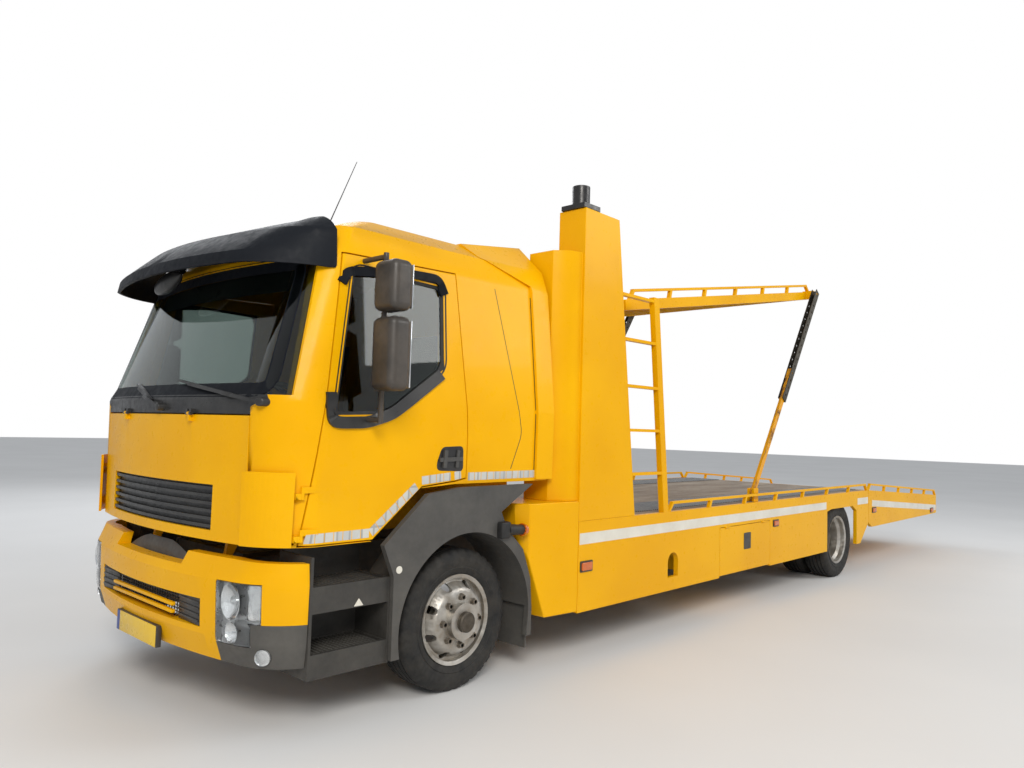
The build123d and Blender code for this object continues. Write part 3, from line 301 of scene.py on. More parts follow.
def clear(name, tint, rough=0.02, film=0.05):
    """Tinted glazing with a thin film of road dirt."""
    f = Finish(name)
    veil = f.times(f.span(f.noise(4.0, 6.0, 0.7), 0.45, 0.8, 0.0, 1.0), film)
    f.join(f.mix(veil, tint, DUST), f.shader.inputs["Base Color"])
    f.join(f.span(veil, 0.0, 1.0, rough, 0.3), f.shader.inputs["Roughness"])
    f.set(Transmission_Weight=1.0, IOR=1.45)
    return f.material


def woven(name, colour, light):
    """Seat cloth of fine crossing threads."""
    f = Finish(name)
    threads = f.nodes.new("ShaderNodeTexWave")
    threads.inputs["Scale"].default_value = 160.0
    threads.inputs["Distortion"].default_value = 1.5
    f.join(f.place, threads.inputs["Vector"])
    f.join(f.ramp(threads.outputs["Fac"], (0.3, colour), (0.7, light)), f.shader.inputs["Base Color"])
    f.join(f.span(f.noise(12.0), 0.3, 0.7, 0.8, 0.95), f.shader.inputs["Roughness"])
    f.bump(threads.outputs["Fac"], 0.0008, 0.5)
    f.set(Sheen_Weight=0.3)
    return f.material


def taped(name):
    """Retro-reflective tape of two pale greys, soiled by the road."""
    f = Finish(name)
    blocks = f.nodes.new("ShaderNodeTexBrick")
    blocks.offset = 0.0
    for key, number in (("Scale", 1.0), ("Mortar Size", 0.006), ("Brick Width", 0.075), ("Row Height", 0.2)):
        blocks.inputs[key].default_value = number
    blocks.inputs["Color1"].default_value = (0.62, 0.63, 0.60, 1.0)
    blocks.inputs["Color2"].default_value = (0.50, 0.53, 0.54, 1.0)
    blocks.inputs["Mortar"].default_value = (0.33, 0.35, 0.36, 1.0)
    turned = f.nodes.new("ShaderNodeMapping")
    turned.inputs["Rotation"].default_value = (math.radians(90), 0.0, 0.0)
    f.join(f.place, turned.inputs["Vector"])
    f.join(turned.outputs["Vector"], blocks.inputs["Vector"])
    soiled = f.times(f.noise(18.0, 6.0, 0.7), 0.4)
    f.join(f.mix(soiled, blocks.outputs["Color"], (0.46, 0.41, 0.32)), f.shader.inputs["Base Color"])
    f.join(f.span(f.noise(40.0), 0.3, 0.7, 0.35, 0.6), f.shader.inputs["Roughness"])
    f.bump(f.noise(300.0, 2.0), 0.0004, 0.2)
    return f.material


YELLOW = paint("body_yellow", (0.86, 0.44, 0.0008), (0.80, 0.39, 0.0006))
CHASSIS = grained("chassis_black", (0.022, 0.022, 0.023), (0.06, 0.056, 0.05), 0.6, 300.0, 0.5)
GREY = grained("grey_plastic", (0.048, 0.047, 0.045), (0.080, 0.077, 0.070), 0.6, 900.0, 0.12)
STEP = grained("step_plastic", (0.020, 0.020, 0.019), (0.042, 0.040, 0.036), 0.6, 700.0, 0.12)
LAMP_BACK = metal("lamp_back", (0.55, 0.56, 0.57), (0.42, 0.43, 0.44), 0.3, 40.0, 0.05)
BLACK = grained("black_plastic", (0.014, 0.014, 0.015), (0.035, 0.034, 0.032), 0.38, 1100.0, 0.15)
MIRROR_SHELL = grained("mirror_shell", (0.030, 0.026, 0.022), (0.075, 0.062, 0.05), 0.42, 1100.0, 0.1)
GLOSS = paint("visor_gloss", (0.010, 0.012, 0.016), (0.006, 0.007, 0.010), 0.5, 0.0, 0.0, 0.12)
WHEEL = metal("wheel_silver", (0.62, 0.61, 0.58), (0.30, 0.27, 0.23), 0.42, 10.0, 0.45)
CAST = metal("cast_parts", (0.14, 0.13, 0.115), (0.07, 0.058, 0.045), 0.6, 18.0, 0.5)
ZINC = spangled("galvanised", (0.50, 0.51, 0.51), (0.33, 0.34, 0.345))
TANK = metal("aluminium_tank", (0.62, 0.62, 0.62), (0.42, 0.42, 0.42), 0.35, 20.0, 0.4)
BOARD = boarded("deck_board")
TYRE = rubbery("tyre_rubber", (0.009, 0.009, 0.009), (0.036, 0.032, 0.026))
SEAL = rubbery("seal_rubber", (0.009, 0.009, 0.009), (0.022, 0.021, 0.02), 0.6, 0.0004)
GLASS = clear("cab_glass", (0.30, 0.36, 0.34))
LENS = clear("lamp_lens", (0.93, 0.95, 0.96), 0.03, 0.12)
CLOTH = woven("seat_fabric", (0.06, 0.06, 0.065), (0.17, 0.17, 0.18))
BEACON = grained("beacon_black", (0.012, 0.012, 0.013), (0.03, 0.03, 0.03), 0.3, 900.0, 0.05)
TAPE = taped("marking_tape")
STRIPE = grained("white_stripe", (0.80, 0.78, 0.70), (0.66, 0.63, 0.54), 0.4, 700.0, 0.35)
AMBER = lensed("amber_lens", (0.85, 0.17, 0.006))
RED = lensed("red_lens", (0.42, 0.008, 0.006))
PLATE = grained("number_plate", (0.86, 0.56, 0.02), (0.78, 0.50, 0.03), 0.35, 500.0, 0.1)
BLUE = grained("plate_band", (0.02, 0.06, 0.30), (0.03, 0.07, 0.26), 0.35, 500.0, 0.1)
PUNCHED = punched("punched_zinc", (0.34, 0.35, 0.355))
STRUT = rusted("strut_paint", (0.80, 0.36, 0.002), (0.10, 0.035, 0.012))
CHANNEL = metal("strut_channel", (0.15, 0.14, 0.12), (0.07, 0.06, 0.045), 0.55, 20.0, 0.5)
HUB = metal("wheel_hub", (0.085, 0.075, 0.065), (0.035, 0.028, 0.022), 0.5, 22.0, 0.4)
NUT = metal("wheel_nut", (0.32, 0.30, 0.27), (0.16, 0.13, 0.10), 0.42, 60.0, 0.35)
BLIND = woven("sun_blind", (0.03, 0.032, 0.03), (0.06, 0.062, 0.058))
SILVER = metal("mirror_glass", (0.90, 0.91, 0.92), (0.86, 0.87, 0.88), 0.03, 5.0, 0.03)
CHROME = metal("lamp_bowl", (0.86, 0.87, 0.88), (0.70, 0.71, 0.72), 0.12, 30.0, 0.05)

SLOT_FINISH = {
    "body_yellow": YELLOW, "chassis_black": CHASSIS, "grey_plastic": GREY, "black_plastic": BLACK,
    "wheel_silver": WHEEL, "cast_parts": CAST, "galvanised": ZINC, "aluminium_tank": TANK,
    "deck_board": BOARD, "tyre_rubber": TYRE, "cab_glass": GLASS, "lamp_lens": LENS,
    "seat_fabric": CLOTH, "beacon_black": BEACON, "tail_lens": RED,
}
NODE_SLOT = {row["node"]: row["material_slot"] for row in frame["record"]["subparts"]}
NODE_BODY = {node: body for body, nodes in frame["record"]["behaviour"]["bodies"].items() for node in nodes}
OWN_FINISH = {
    "steps": STEP, "wheel_tracks": PUNCHED, "strut_bars": STRUT, "strut_channels": CHANNEL,
    "sun_visor": GLOSS, "mirror_left": MIRROR_SHELL, "mirror_right": MIRROR_SHELL,
}


# Piece making
DOUBLES = 0.00002
FLAT_DEGREES = 0.6
EDGE_DEGREES = 38


def smoothed(mesh, angle):
    mesh.polygons.foreach_set("use_smooth", [True] * len(mesh.polygons))
    mesh.set_sharp_from_angle(angle=math.radians(angle))


def finished(bm, name, body, slot, *finishes, hides=(), angle=35.0):
    """Turns the bmesh into a piece that rides on a body."""
    bmesh.ops.remove_doubles(bm, verts=bm.verts, dist=DOUBLES)
    bmesh.ops.recalc_face_normals(bm, faces=bm.faces)
    mesh = bpy.data.meshes.new(name)
    bm.to_mesh(mesh)
    bm.free()
    smoothed(mesh, angle)
    piece = bpy.data.objects.new(name, mesh)
    bpy.context.collection.objects.link(piece)
    for finish in finishes:
        mesh.materials.append(finish)
    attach(piece, body)
    if hides:
        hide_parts(*hides)


def dressed(node, edge, angle=30.0):
    """A smooth copy of a solid node, with softened edges, that stands for it."""
    mesh = frame["nodes"][node].data.copy()
    mesh.name = node + "_dressed"
    mesh.materials.clear()
    mesh.materials.append(OWN_FINISH.get(node, SLOT_FINISH[NODE_SLOT[node]]))
    bm = bmesh.new()
    bm.from_mesh(mesh)
    bmesh.ops.remove_doubles(bm, verts=bm.verts, dist=DOUBLES)
    bmesh.ops.dissolve_limit(bm, angle_limit=math.radians(FLAT_DEGREES), verts=bm.verts, edges=bm.edges)
    bm.to_mesh(mesh)
    bm.free()
    smoothed(mesh, angle)
    piece = bpy.data.objects.new(node + "_dressed", mesh)
    bpy.context.collection.objects.link(piece)
    if edge:
        soft = piece.modifiers.new("edge", "BEVEL")
        soft.width = edge
        soft.segments = 2
        soft.limit_method = "ANGLE"
        soft.angle_limit = math.radians(EDGE_DEGREES)
        soft.use_clamp_overlap = True
        soft.harden_normals = True
    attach(piece, NODE_BODY[node])
    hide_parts(node)


def add_block(bm, low, high, soft=0.0):
    """A block between two corners, its edges rounded by soft."""
    verts = bmesh.ops.create_cube(bm, size=1.0)["verts"]
    low, high = at(*low), at(*high)
    bmesh.ops.scale(bm, vec=[abs(b - a) for a, b in zip(low, high)], verts=verts)
    bmesh.ops.translate(bm, vec=(low + high) / 2, verts=verts)
    if soft:
        edges = list({edge for vert in verts for edge in vert.link_edges})
        bmesh.ops.bevel(bm, geom=edges, offset=soft, offset_type="OFFSET", segments=2, profile=0.5,
                        affect="EDGES", material=-1, clamp_overlap=True)


def add_bar(bm, start, end, radius, sides=16, end_radius=None):
    """A round bar between two places, which may taper."""
    start, end = at(*start), at(*end)
    along = end - start
    if end_radius is None:
        end_radius = radius
    verts = bmesh.ops.create_cone(bm, cap_ends=True, segments=sides, radius1=radius, radius2=end_radius,
                                  depth=along.length)["verts"]
    aim = Matrix.Translation((start + end) / 2) @ along.to_track_quat("Z", "Y").to_matrix().to_4x4()
    bmesh.ops.transform(bm, matrix=aim, verts=verts)


def add_ring(bm, section, centre, steps):
    """A section of (radius, y) points spun about the wheel's axis."""
    x, z = centre
    hub = at(x, 0.0, z)
    verts = [bm.verts.new(hub + Vector((0.0, y, radius))) for radius, y in section]
    edges = [bm.edges.new(pair) for pair in zip(verts, verts[1:])]
    bmesh.ops.spin(bm, geom=verts + edges, cent=hub, axis=(0, 1, 0), angle=math.tau, steps=steps,
                   use_merge=True, use_duplicate=False)


# Carried-over nodes get their finishes
for node, thing in frame["nodes"].items():
    thing.data.materials.clear()
    thing.data.materials.append(OWN_FINISH.get(node, SLOT_FINISH[NODE_SLOT[node]]))

# Solid nodes that are smoothed, each with the radius of its softened edges
ROUNDED = {
    "cab_shell": 0.004, "door_left": 0.004, "door_right": 0.004, "front_hatch": 0.004, "cab_fairings": 0.010,
    "sun_visor": 0.006, "bumper": 0.012, "bumper_trim": 0.006, "columns": 0.006, "side_skirts": 0.005,
    "side_lockers": 0.008, "steps": 0.006, "mudguards": 0.010, "cowl": 0.004, "tail_lamps": 0.004,
    "upper_neck": 0.003, "fuel_tank": 0.0, "front_wheel_left": 0.003, "front_wheel_right": 0.003,
    "rear_wheels_left": 0.003, "rear_wheels_right": 0.003, "mirror_left": 0.0, "mirror_right": 0.0,
    "seats": 0.02, "dashboard": 0.01, "steering_wheel": 0.0, "tail_deck": 0.004, "strut_bars": 0.003,
    "strut_channels": 0.002, "beacon": 0.004, "drive_train": 0.008, "rear_axle": 0.006, "front_axle": 0.008,
    "upper_frame": 0.003, "deck_rails": 0.003, "ladder": 0.003, "toolbox_door_left": 0.003,
    "toolbox_door_right": 0.003,
}
for node, edge in ROUNDED.items():
    dressed(node, edge)


# Skins that strips, seals and lamps are laid on. Each place is found by a ray from outside the truck,
# and where the ray meets nothing, the face that is nearest to a point closer in is taken
OUTSIDE = 3.0
NEAR_SKIN = 1.8
FROM_LEFT = (0.0, 1.0, 0.0)
FROM_FRONT = (1.0, 0.0, 0.0)


class Skin:
    """The outer faces of some nodes, as they are met from the left or from the front."""

    def __init__(self, way, *nodes):
        self.way = Vector(way)
        verts = []
        faces = []
        for node in nodes:
            thing = frame["nodes"][node]
            first = len(verts)
            verts.extend(thing.matrix_world @ vert.co for vert in thing.data.vertices)
            faces.extend([first + index for index in face.vertices] for face in thing.data.polygons)
        self.tree = BVHTree.FromPolygons(verts, faces)

    def on(self, u, v, lift=0.0):
        """The face at (x, z) from the left, or at (y, z) from the front, with a lift off it."""
        start = at(u, -OUTSIDE, v) if self.way.y else at(-OUTSIDE, u, v)
        spot = self.tree.ray_cast(start, self.way)[0]
        if spot is None:
            spot = self.tree.find_nearest(start + self.way * NEAR_SKIN)[0]
        return spot - self.way * lift


def curved(points, radius=0.03, closed=False, steps=5):
    """A path whose corners are turned in arcs of about that radius."""
    most = 0.45
    count = len(points)
    path = []
    for i, point in enumerate(points):
        corner = Vector(point)
        if not closed and i in (0, count - 1):
            path.append(corner)
            continue
        before = Vector(points[i - 1]) - corner
        after = Vector(points[(i + 1) % count]) - corner
        start = corner + before.normalized() * min(radius, before.length * most)
        end = corner + after.normalized() * min(radius, after.length * most)
        for k in range(steps + 1):
            share = k / steps
            path.append(start.lerp(corner, share).lerp(corner.lerp(end, share), share))
    return path


def dense(points, step=0.05, closed=False):
    """The same path with no stretch longer than step."""
    points = [Vector(point) for point in points]
    path = [points[0]]
    for end in points[1:] + (points[:1] if closed else []):
        start = path[-1]
        count = max(1, math.ceil((end - start).length / step))
        path.extend(start.lerp(end, i / count) for i in range(1, count + 1))
    return path[:-1] if closed else path


def pushed(bm, face, spots, keep):
    """The face extruded, with the new face's corners at those spots. The old face may stay as an end."""
    made = bmesh.ops.extrude_face_region(bm, geom=[face])["geom"]
    front = next(item for item in made if isinstance(item, bmesh.types.BMFace))
    for vert, spot in zip(front.verts, spots):
        vert.co = spot
    if not keep:
        bmesh.ops.delete(bm, geom=[face], context="FACES_ONLY")
    return front


def ribbon(bm, skin, points, half, lift, sink=0.004, closed=False, step=0.05):
    """A flat strip of that half width, laid along a path on a skin."""
    path = dense(points, step, closed)
    count = len(path)
    sections = []
    for i, point in enumerate(path):
        before = path[i - 1] if i or closed else point
        after = path[(i + 1) % count] if i < count - 1 or closed else point
        along = (after - before).normalized()
        across = Vector((-along.y, along.x)) * half
        sections.append([skin.on(*(point + across * side), height)
                         for side, height in ((1, lift), (-1, lift), (-1, -sink), (1, -sink))])
    if closed:
        sections.append(sections[0])
    end = bm.faces.new([bm.verts.new(spot) for spot in sections[0]])
    for i, spots in enumerate(sections[1:]):
        end = pushed(bm, end, spots, keep=i == 0 and not closed)
    if closed:
        bmesh.ops.delete(bm, geom=[end], context="FACES_ONLY")


def pad(bm, skin, outline, edge, crown=0.0, sink=0.004, radius=0.02):
    """A plate over an outline on a skin, edge high at its rim and crowned towards its middle."""
    path = dense(curved(outline, radius, True), 0.03, True)
    middle = sum(path, Vector((0.0, 0.0))) / len(path)
    dome = ((1.0, 0.0), (0.96, 0.35), (0.8, 0.7), (0.45, 1.0))
    path.reverse()
    top = bm.faces.new([bm.verts.new(skin.on(*point, -sink)) for point in path])
    for i, (size, rise) in enumerate(dome):
        spots = [skin.on(*middle.lerp(point, size), edge + crown * rise) for point in path]
        top = pushed(bm, top, spots, keep=i == 0)
    centre = bmesh.ops.poke(bm, faces=[top])["verts"][0]
    centre.co = skin.on(*middle, edge + crown)


def oval(u, v, half_u, half_v, sides=24):
    """The points of an upright oval."""
    return [(u + half_u * math.cos(math.tau * i / sides), v + half_v * math.sin(math.tau * i / sides))
            for i in range(sides)]


def rectangle(u0, u1, v0, v1):
    """The four corners of an upright rectangle."""
    return [(u0, v0), (u1, v0), (u1, v1), (u0, v1)]


def single(make, name, body, slot, *finishes):
    """A piece that there is one of."""
    bm = bmesh.new()
    make(bm)
    finished(bm, name, body, slot, *finishes)


def both_sides(make, name, body, slot, *finishes, angle=35.0, hides=()):
    """The same piece on the left and, mirrored, on the right."""
    for side in ("left", "right"):
        bm = bmesh.new()
        make(bm)
        if side == "right":
            bmesh.ops.scale(bm, vec=(1.0, -1.0, 1.0), verts=bm.verts)
        finished(bm, name + "_" + side, body.replace("SIDE", side), slot, *finishes, angle=angle,
                 hides=[node.replace("SIDE", side) for node in hides])


side_skin = Skin(FROM_LEFT, "side_skirts", "side_lockers", "body_frame", "toolbox_door_left")
tail_skin = Skin(FROM_LEFT, "tail_deck")
cab_skin = Skin(FROM_LEFT, "cab_shell", "door_left", "door_glass_left")
collar_skin = Skin(FROM_LEFT, "cab_fairings", "cab_shell")
front_skin = Skin(FROM_FRONT, "cab_shell", "front_hatch", "cowl", "windscreen")
lamp_skin = Skin(FROM_FRONT, "headlamps")
step_skin = Skin(FROM_LEFT, "steps")
guard_skin = Skin(FROM_LEFT, "mudguards")

# White stripe along the sides and the tail
FILM = 0.0012
STRIPE_HALF = 0.0375
STRIPE_Z = 0.8135
SIDE_STRIPES = [[(0.955, STRIPE_Z), (5.215, STRIPE_Z)], [(6.150, STRIPE_Z), (6.495, STRIPE_Z)]]
TAIL_STRIPES = [[(6.640, 0.771), (9.335, 0.577)]]


def stripes(bm, skin, runs):
    for run in runs:
        ribbon(bm, skin, run, STRIPE_HALF, FILM, step=0.12)


both_sides(lambda bm: stripes(bm, side_skin, SIDE_STRIPES), "side_stripe", "root", "body_yellow", STRIPE)
both_sides(lambda bm: stripes(bm, tail_skin, TAIL_STRIPES), "tail_stripe", "tail", "body_yellow", STRIPE)

# Squares of reflective tape along the door and the cab
SQUARE = 0.050
SQUARE_HALF = SQUARE * 0.46
SQUARE_PITCH = 0.0545
TAPE_LIFT = 0.001
DOOR_TAPE = [(-1.068, 0.966), (-0.680, 0.970), (-0.345, 1.232), (-0.100, 1.252), (-0.025, 1.262)]
CAB_TAPE = [(0.008, 1.246), (0.700, 1.250)]


def squares(bm, skin, points):
    """Square patches of tape, one after the other along a path."""
    stretches = [(Vector(a), Vector(b)) for a, b in zip(points, points[1:])]
    for start, end in stretches:
        along = (end - start).normalized()
        for i in range(int((end - start).length / SQUARE_PITCH)):
            near = start + along * (SQUARE_PITCH * i)
            ribbon(bm, skin, [near, near + along * SQUARE], SQUARE_HALF, TAPE_LIFT, step=0.03)


both_sides(lambda bm: squares(bm, cab_skin, DOOR_TAPE), "door_tape", "door_SIDE", "body_yellow", TAPE)
both_sides(lambda bm: squares(bm, cab_skin, CAB_TAPE), "cab_tape", "cab", "body_yellow", TAPE)

# Door window's seal, its black surround, the rain deflector and the handle
WINDOW = [(-0.940, 1.575), (-0.600, 1.590), (-0.190, 1.865), (-0.175, 2.345), (-0.805, 2.365)]
WINDOW_CORNER = 0.06
SURROUND = [
    (-0.962, 1.690), (-0.955, 1.556), (-0.920, 1.538), (-0.740, 1.543), (-0.575, 1.592), (-0.215, 1.832),
]
DEFLECTOR = [(-0.885, 2.262), (-0.850, 2.330), (-0.437, 2.382), (-0.215, 2.388), (-0.172, 2.300)]
TRIM_CORNER = 0.05
RECESS = [(-0.206, 1.418), (-0.040, 1.424), (-0.036, 1.277), (-0.233, 1.284), (-0.243, 1.320)]
# The handle's two upright bars and its level one, each as (path, half width, height)
HANDLE_BARS = [
    ([(-0.190, 1.300), (-0.182, 1.400)], 0.013, 0.016),
    ([(-0.090, 1.300), (-0.082, 1.400)], 0.011, 0.010),
    ([(-0.225, 1.345), (-0.050, 1.350)], 0.012, 0.013),
]


def window_seal(bm):
    loop = curved(WINDOW, WINDOW_CORNER, closed=True)
    ribbon(bm, cab_skin, loop, half=0.017, lift=0.004, sink=0.012, closed=True, step=0.04)


def window_surround(bm):
    ribbon(bm, cab_skin, curved(SURROUND, TRIM_CORNER), half=0.030, lift=0.014, step=0.03)


def rain_deflector(bm):
    ribbon(bm, cab_skin, curved(DEFLECTOR, TRIM_CORNER), half=0.024, lift=0.016, step=0.03)


def handle_recess(bm):
    pad(bm, cab_skin, RECESS, edge=0.0015, radius=0.03)


def handle(bm):
    for bar, half, lift in HANDLE_BARS:
        ribbon(bm, cab_skin, bar, half, lift, step=0.03)


both_sides(window_seal, "window_seal", "door_SIDE", "black_plastic", SEAL)
both_sides(window_surround, "window_surround", "door_SIDE", "black_plastic", BLACK)
both_sides(rain_deflector, "rain_deflector", "door_SIDE", "black_plastic", GLOSS)
both_sides(handle_recess, "handle_recess", "door_SIDE", "black_plastic", BLACK)
both_sides(handle, "door_handle", "door_SIDE", "black_plastic", GREY)

# Thin dark lines where panels meet, and a black line along the sleeper recess's edge that is a painted shadow
SEAM_LIFT = 0.0006
SEAM_HALF = 0.0025
COLLAR_SEAM_HALF = 0.003
SLEEPER_CREASE = [(0.258, 2.405), (0.465, 1.502), (0.372, 1.285)]
COLLAR_SEAM = [(0.591, 1.240), (0.591, 2.395)]
LOCKER_SEAM = [(0.960, 0.985), (1.560, 0.985)]


# The recess's edge is only a crease in the panel; this black line along it and its lower corner is a painted
# shadow
def sleeper_crease_shadow(bm):
    ribbon(bm, cab_skin, curved(SLEEPER_CREASE, TRIM_CORNER), SEAM_HALF, SEAM_LIFT)


def collar_seam(bm):
    ribbon(bm, collar_skin, COLLAR_SEAM, COLLAR_SEAM_HALF, SEAM_LIFT)


def locker_seam(bm):
    ribbon(bm, side_skin, LOCKER_SEAM, SEAM_HALF, SEAM_LIFT)


# Painted shadow along the sleeper recess, in black rubber
both_sides(sleeper_crease_shadow, "sleeper_crease_shadow", "cab", "black_plastic", SEAL)
both_sides(collar_seam, "collar_seam", "cab", "black_plastic", SEAL)

# Glass of the door mirrors, inside the rims of their shells
PANE_NEAR = (-0.674, -1.405)
PANE_FAR = (-0.668, -1.252)
PANE_RIM = 0.018
SHELL_HEIGHTS = ((2.110, 2.370), (1.705, 2.080))


def mirror_pane(bm, low, high):
    add_block(bm, (*PANE_NEAR, low + PANE_RIM), (*PANE_FAR, high - PANE_RIM), 0.002)


for row, (low, high) in enumerate(SHELL_HEIGHTS):
    both_sides(lambda bm: mirror_pane(bm, low, high), "mirror_glass_%d" % row, "door_SIDE", "black_plastic",
               SILVER)

# Windscreen: painted band, blind, wipers, and the kerb mirror under the visor
BAND = [(-0.985, 1.690), (0.985, 1.690), (0.900, 2.372), (-0.900, 2.372)]
BAND_HALF = 0.036
BLIND_CLOTH = rectangle(-0.80, 0.80, 2.225, 2.345)
BLIND_BEHIND = 0.032
BLIND_THICK = 0.004
WIPERS = [((-0.100, 1.600), (0.360, 1.727)), ((-1.000, 1.628), (-0.260, 1.737))]
ARM_SHARE = 0.9
BLADE_SHARES = (0.30, 1.08)
PIVOT_RADIUS = 0.022
KERB_MIRROR = (-1.262, 0.125, 2.330)
KERB_MIRROR_HALVES = (0.045, 0.165, 0.055)
KERB_MIRROR_TURN = math.radians(-12)
KERB_STALK = ((-1.255, 0.125, 2.36), (-1.230, 0.125, 2.44))
KERB_STALK_RADIUS = 0.012


def windscreen_band(bm):
    ribbon(bm, front_skin, curved(BAND, 0.08, closed=True), BAND_HALF, FILM, closed=True, step=0.06)


def sun_blind(bm):
    """Cloth that hangs behind the glass."""
    pad(bm, front_skin, BLIND_CLOTH, edge=-BLIND_BEHIND, sink=BLIND_BEHIND + BLIND_THICK)


def wipers(bm):
    """Arms from their pivots, with their blades resting on the glass."""
    for foot, end in WIPERS:
        pivot, tip = Vector(foot), Vector(end)
        arm = [pivot, pivot.lerp(tip, ARM_SHARE)]
        blade = [pivot.lerp(tip, share) for share in BLADE_SHARES]
        ribbon(bm, front_skin, arm, half=0.009, lift=0.034, sink=-0.024)
        ribbon(bm, front_skin, blade, half=0.006, lift=0.024, sink=-0.002)
        cap = oval(*pivot, PIVOT_RADIUS, PIVOT_RADIUS, 16)
        pad(bm, front_skin, cap, edge=0.036, crown=0.006, radius=0.004)


def kerb_mirror(bm):
    """An oval shell on a short stalk."""
    shell = bmesh.ops.create_uvsphere(bm, u_segments=24, v_segments=12, radius=1.0)["verts"]
    bmesh.ops.scale(bm, vec=KERB_MIRROR_HALVES, verts=shell)
    bmesh.ops.rotate(bm, matrix=Matrix.Rotation(KERB_MIRROR_TURN, 3, "X"), verts=shell)
    bmesh.ops.translate(bm, vec=at(*KERB_MIRROR), verts=shell)
    add_bar(bm, *KERB_STALK, KERB_STALK_RADIUS)


single(windscreen_band, "windscreen_band", "cab", "black_plastic", GLOSS)
single(sun_blind, "sun_blind", "cab", "seat_fabric", BLIND)
single(wipers, "wipers", "cab", "black_plastic", BLACK)
single(kerb_mirror, "kerb_mirror", "cab", "black_plastic", BLACK)

# Aerial on the roof, a thick foot and a thin whip, each as (start, end, radius, sides, end radius)
AERIAL_BARS = [
    ((-0.880, -0.900, 2.555), (-0.850, -0.900, 2.610), 0.014, 12, 0.008),
    ((-0.855, -0.900, 2.600), (-0.690, -0.900, 2.990), 0.0035, 8, 0.002),
]


def aerial(bm):
    for bar in AERIAL_BARS:
        add_bar(bm, *bar)


single(aerial, "aerial", "cab", "black_plastic", BLACK)

# Headlamps: silvered back, two bowls, turn lamp and one lens over all
LAMP = [(-0.762, 0.748), (-1.028, 0.748), (-1.028, 0.562), (-0.984, 0.556), (-0.984, 0.452), (-0.762, 0.452)]
LAMP_CORNER = 0.012
TURN_LAMP = rectangle(-1.022, -0.955, 0.575, 0.740)
BOWL_SINK = 0.010
BOWL_STEPS = 32
BULB_SHARE = 0.10
BULB_END = 0.3
# Each bowl as (y, z, radius, depth), and their section as shares of radius and depth
BOWLS = [(-0.858, 0.655, 0.082, 0.034), (-0.868, 0.508, 0.050, 0.030)]
BOWL_SECTION = [
    (1.06, 0.0), (1.0, 0.0), (0.85, 0.35), (0.6, 0.7), (0.25, 1.0), (BULB_SHARE, 1.0), (BULB_SHARE, BULB_END),
]


def lamp_back(bm):
    pad(bm, lamp_skin, LAMP, edge=-0.046, sink=0.056, radius=LAMP_CORNER)
    rim = curved(LAMP, LAMP_CORNER, closed=True)
    ribbon(bm, lamp_skin, rim, half=0.0025, lift=-0.004, sink=0.055, closed=True)


def bowl(bm, y, z, radius, depth):
    """A bright bowl around its bulb, open to the front."""
    rim = lamp_skin.on(y, z, -BOWL_SINK)
    verts = [bm.verts.new(rim + Vector((depth * back, radius * share, 0.0))) for share, back in BOWL_SECTION]
    edges = [bm.edges.new(pair) for pair in zip(verts, verts[1:])]
    bmesh.ops.spin(bm, geom=verts + edges, cent=rim, axis=(1, 0, 0), angle=math.tau, steps=BOWL_STEPS,
                   use_merge=True, use_duplicate=False)
    end = Matrix.Translation(rim + Vector((depth * BULB_END, 0.0, 0.0)))
    forward = Matrix.Rotation(math.radians(90), 4, "Y")
    bmesh.ops.create_circle(bm, cap_ends=True, segments=BOWL_STEPS, radius=radius * BULB_SHARE,
                            matrix=end @ forward)


def lamp_bowls(bm):
    for place in BOWLS:
        bowl(bm, *place)


def turn_lamp(bm):
    pad(bm, lamp_skin, TURN_LAMP, edge=-0.018, crown=0.004, sink=0.034, radius=LAMP_CORNER)


def lamp_lens(bm):
    pad(bm, lamp_skin, LAMP, edge=0.0, crown=0.004, radius=LAMP_CORNER)


both_sides(lamp_back, "headlamp_back", "root", "lamp_lens", LAMP_BACK, hides=("headlamps",))
both_sides(lamp_bowls, "headlamp_bowls", "root", "lamp_lens", CHROME, angle=50)
both_sides(turn_lamp, "turn_lamp", "root", "lamp_lens", CHROME)
both_sides(lamp_lens, "headlamp_lens", "root", "lamp_lens", LENS)

# Fog lamps in the bumper's corners
FOG_TURN = math.radians(40.0)
FOG_WAY = Vector((-math.cos(FOG_TURN), -math.sin(FOG_TURN), 0.0))
FOG_FACE = Vector((-1.200, -1.030, 0.408))
# Each as (start, end, radius) along the lamp's axis
FOG_BOWL = (-0.050, 0.010, 0.0385)
FOG_LENS = (0.010, 0.018, 0.0375)


def fog_lamp(bm, start, end, radius):
    add_bar(bm, FOG_FACE + FOG_WAY * start, FOG_FACE + FOG_WAY * end, radius, 32)


both_sides(lambda bm: fog_lamp(bm, *FOG_BOWL), "fog_bowl", "root", "lamp_lens", CHROME)
both_sides(lambda bm: fog_lamp(bm, *FOG_LENS), "fog_lens", "root", "lamp_lens", LENS)

# The bumper's intake: ends with ribs, two yellow bars and a mesh behind them
INTAKE_LOW = 0.503
INTAKE_HIGH = 0.637
END_FACE = -1.336
END_OUTER = -0.636
END_INNER = -0.400
END_RIB_FEET = [0.520, 0.550, 0.580, 0.610]
END_RIB_HIGH = 0.012
END_RIB_OUT = 0.006
MESH_FACE = -1.331
MESH_BACK = -1.326
BAR_FACE = -1.372
BAR_BACK = -1.350
BAR_FEET = (0.528, 0.566)
BAR_HIGH = 0.018
BAR_REACH = 0.395
WIRE_HALF = 0.0015
UPRIGHT_WIRES = 40
UPRIGHT_REACH = 0.62
LEVEL_WIRES = 8
LEVEL_START = 0.513
LEVEL_REACH = 0.64
LEVEL_PITCH = 0.016


def intake_end(bm):
    add_block(bm, (END_FACE, END_OUTER, INTAKE_LOW), (MESH_BACK, END_INNER, INTAKE_HIGH), 0.003)
    for foot in END_RIB_FEET:
        front = (END_FACE - END_RIB_OUT, END_OUTER + 0.006, foot)
        add_block(bm, front, (END_FACE, END_INNER - 0.005, foot + END_RIB_HIGH), 0.002)


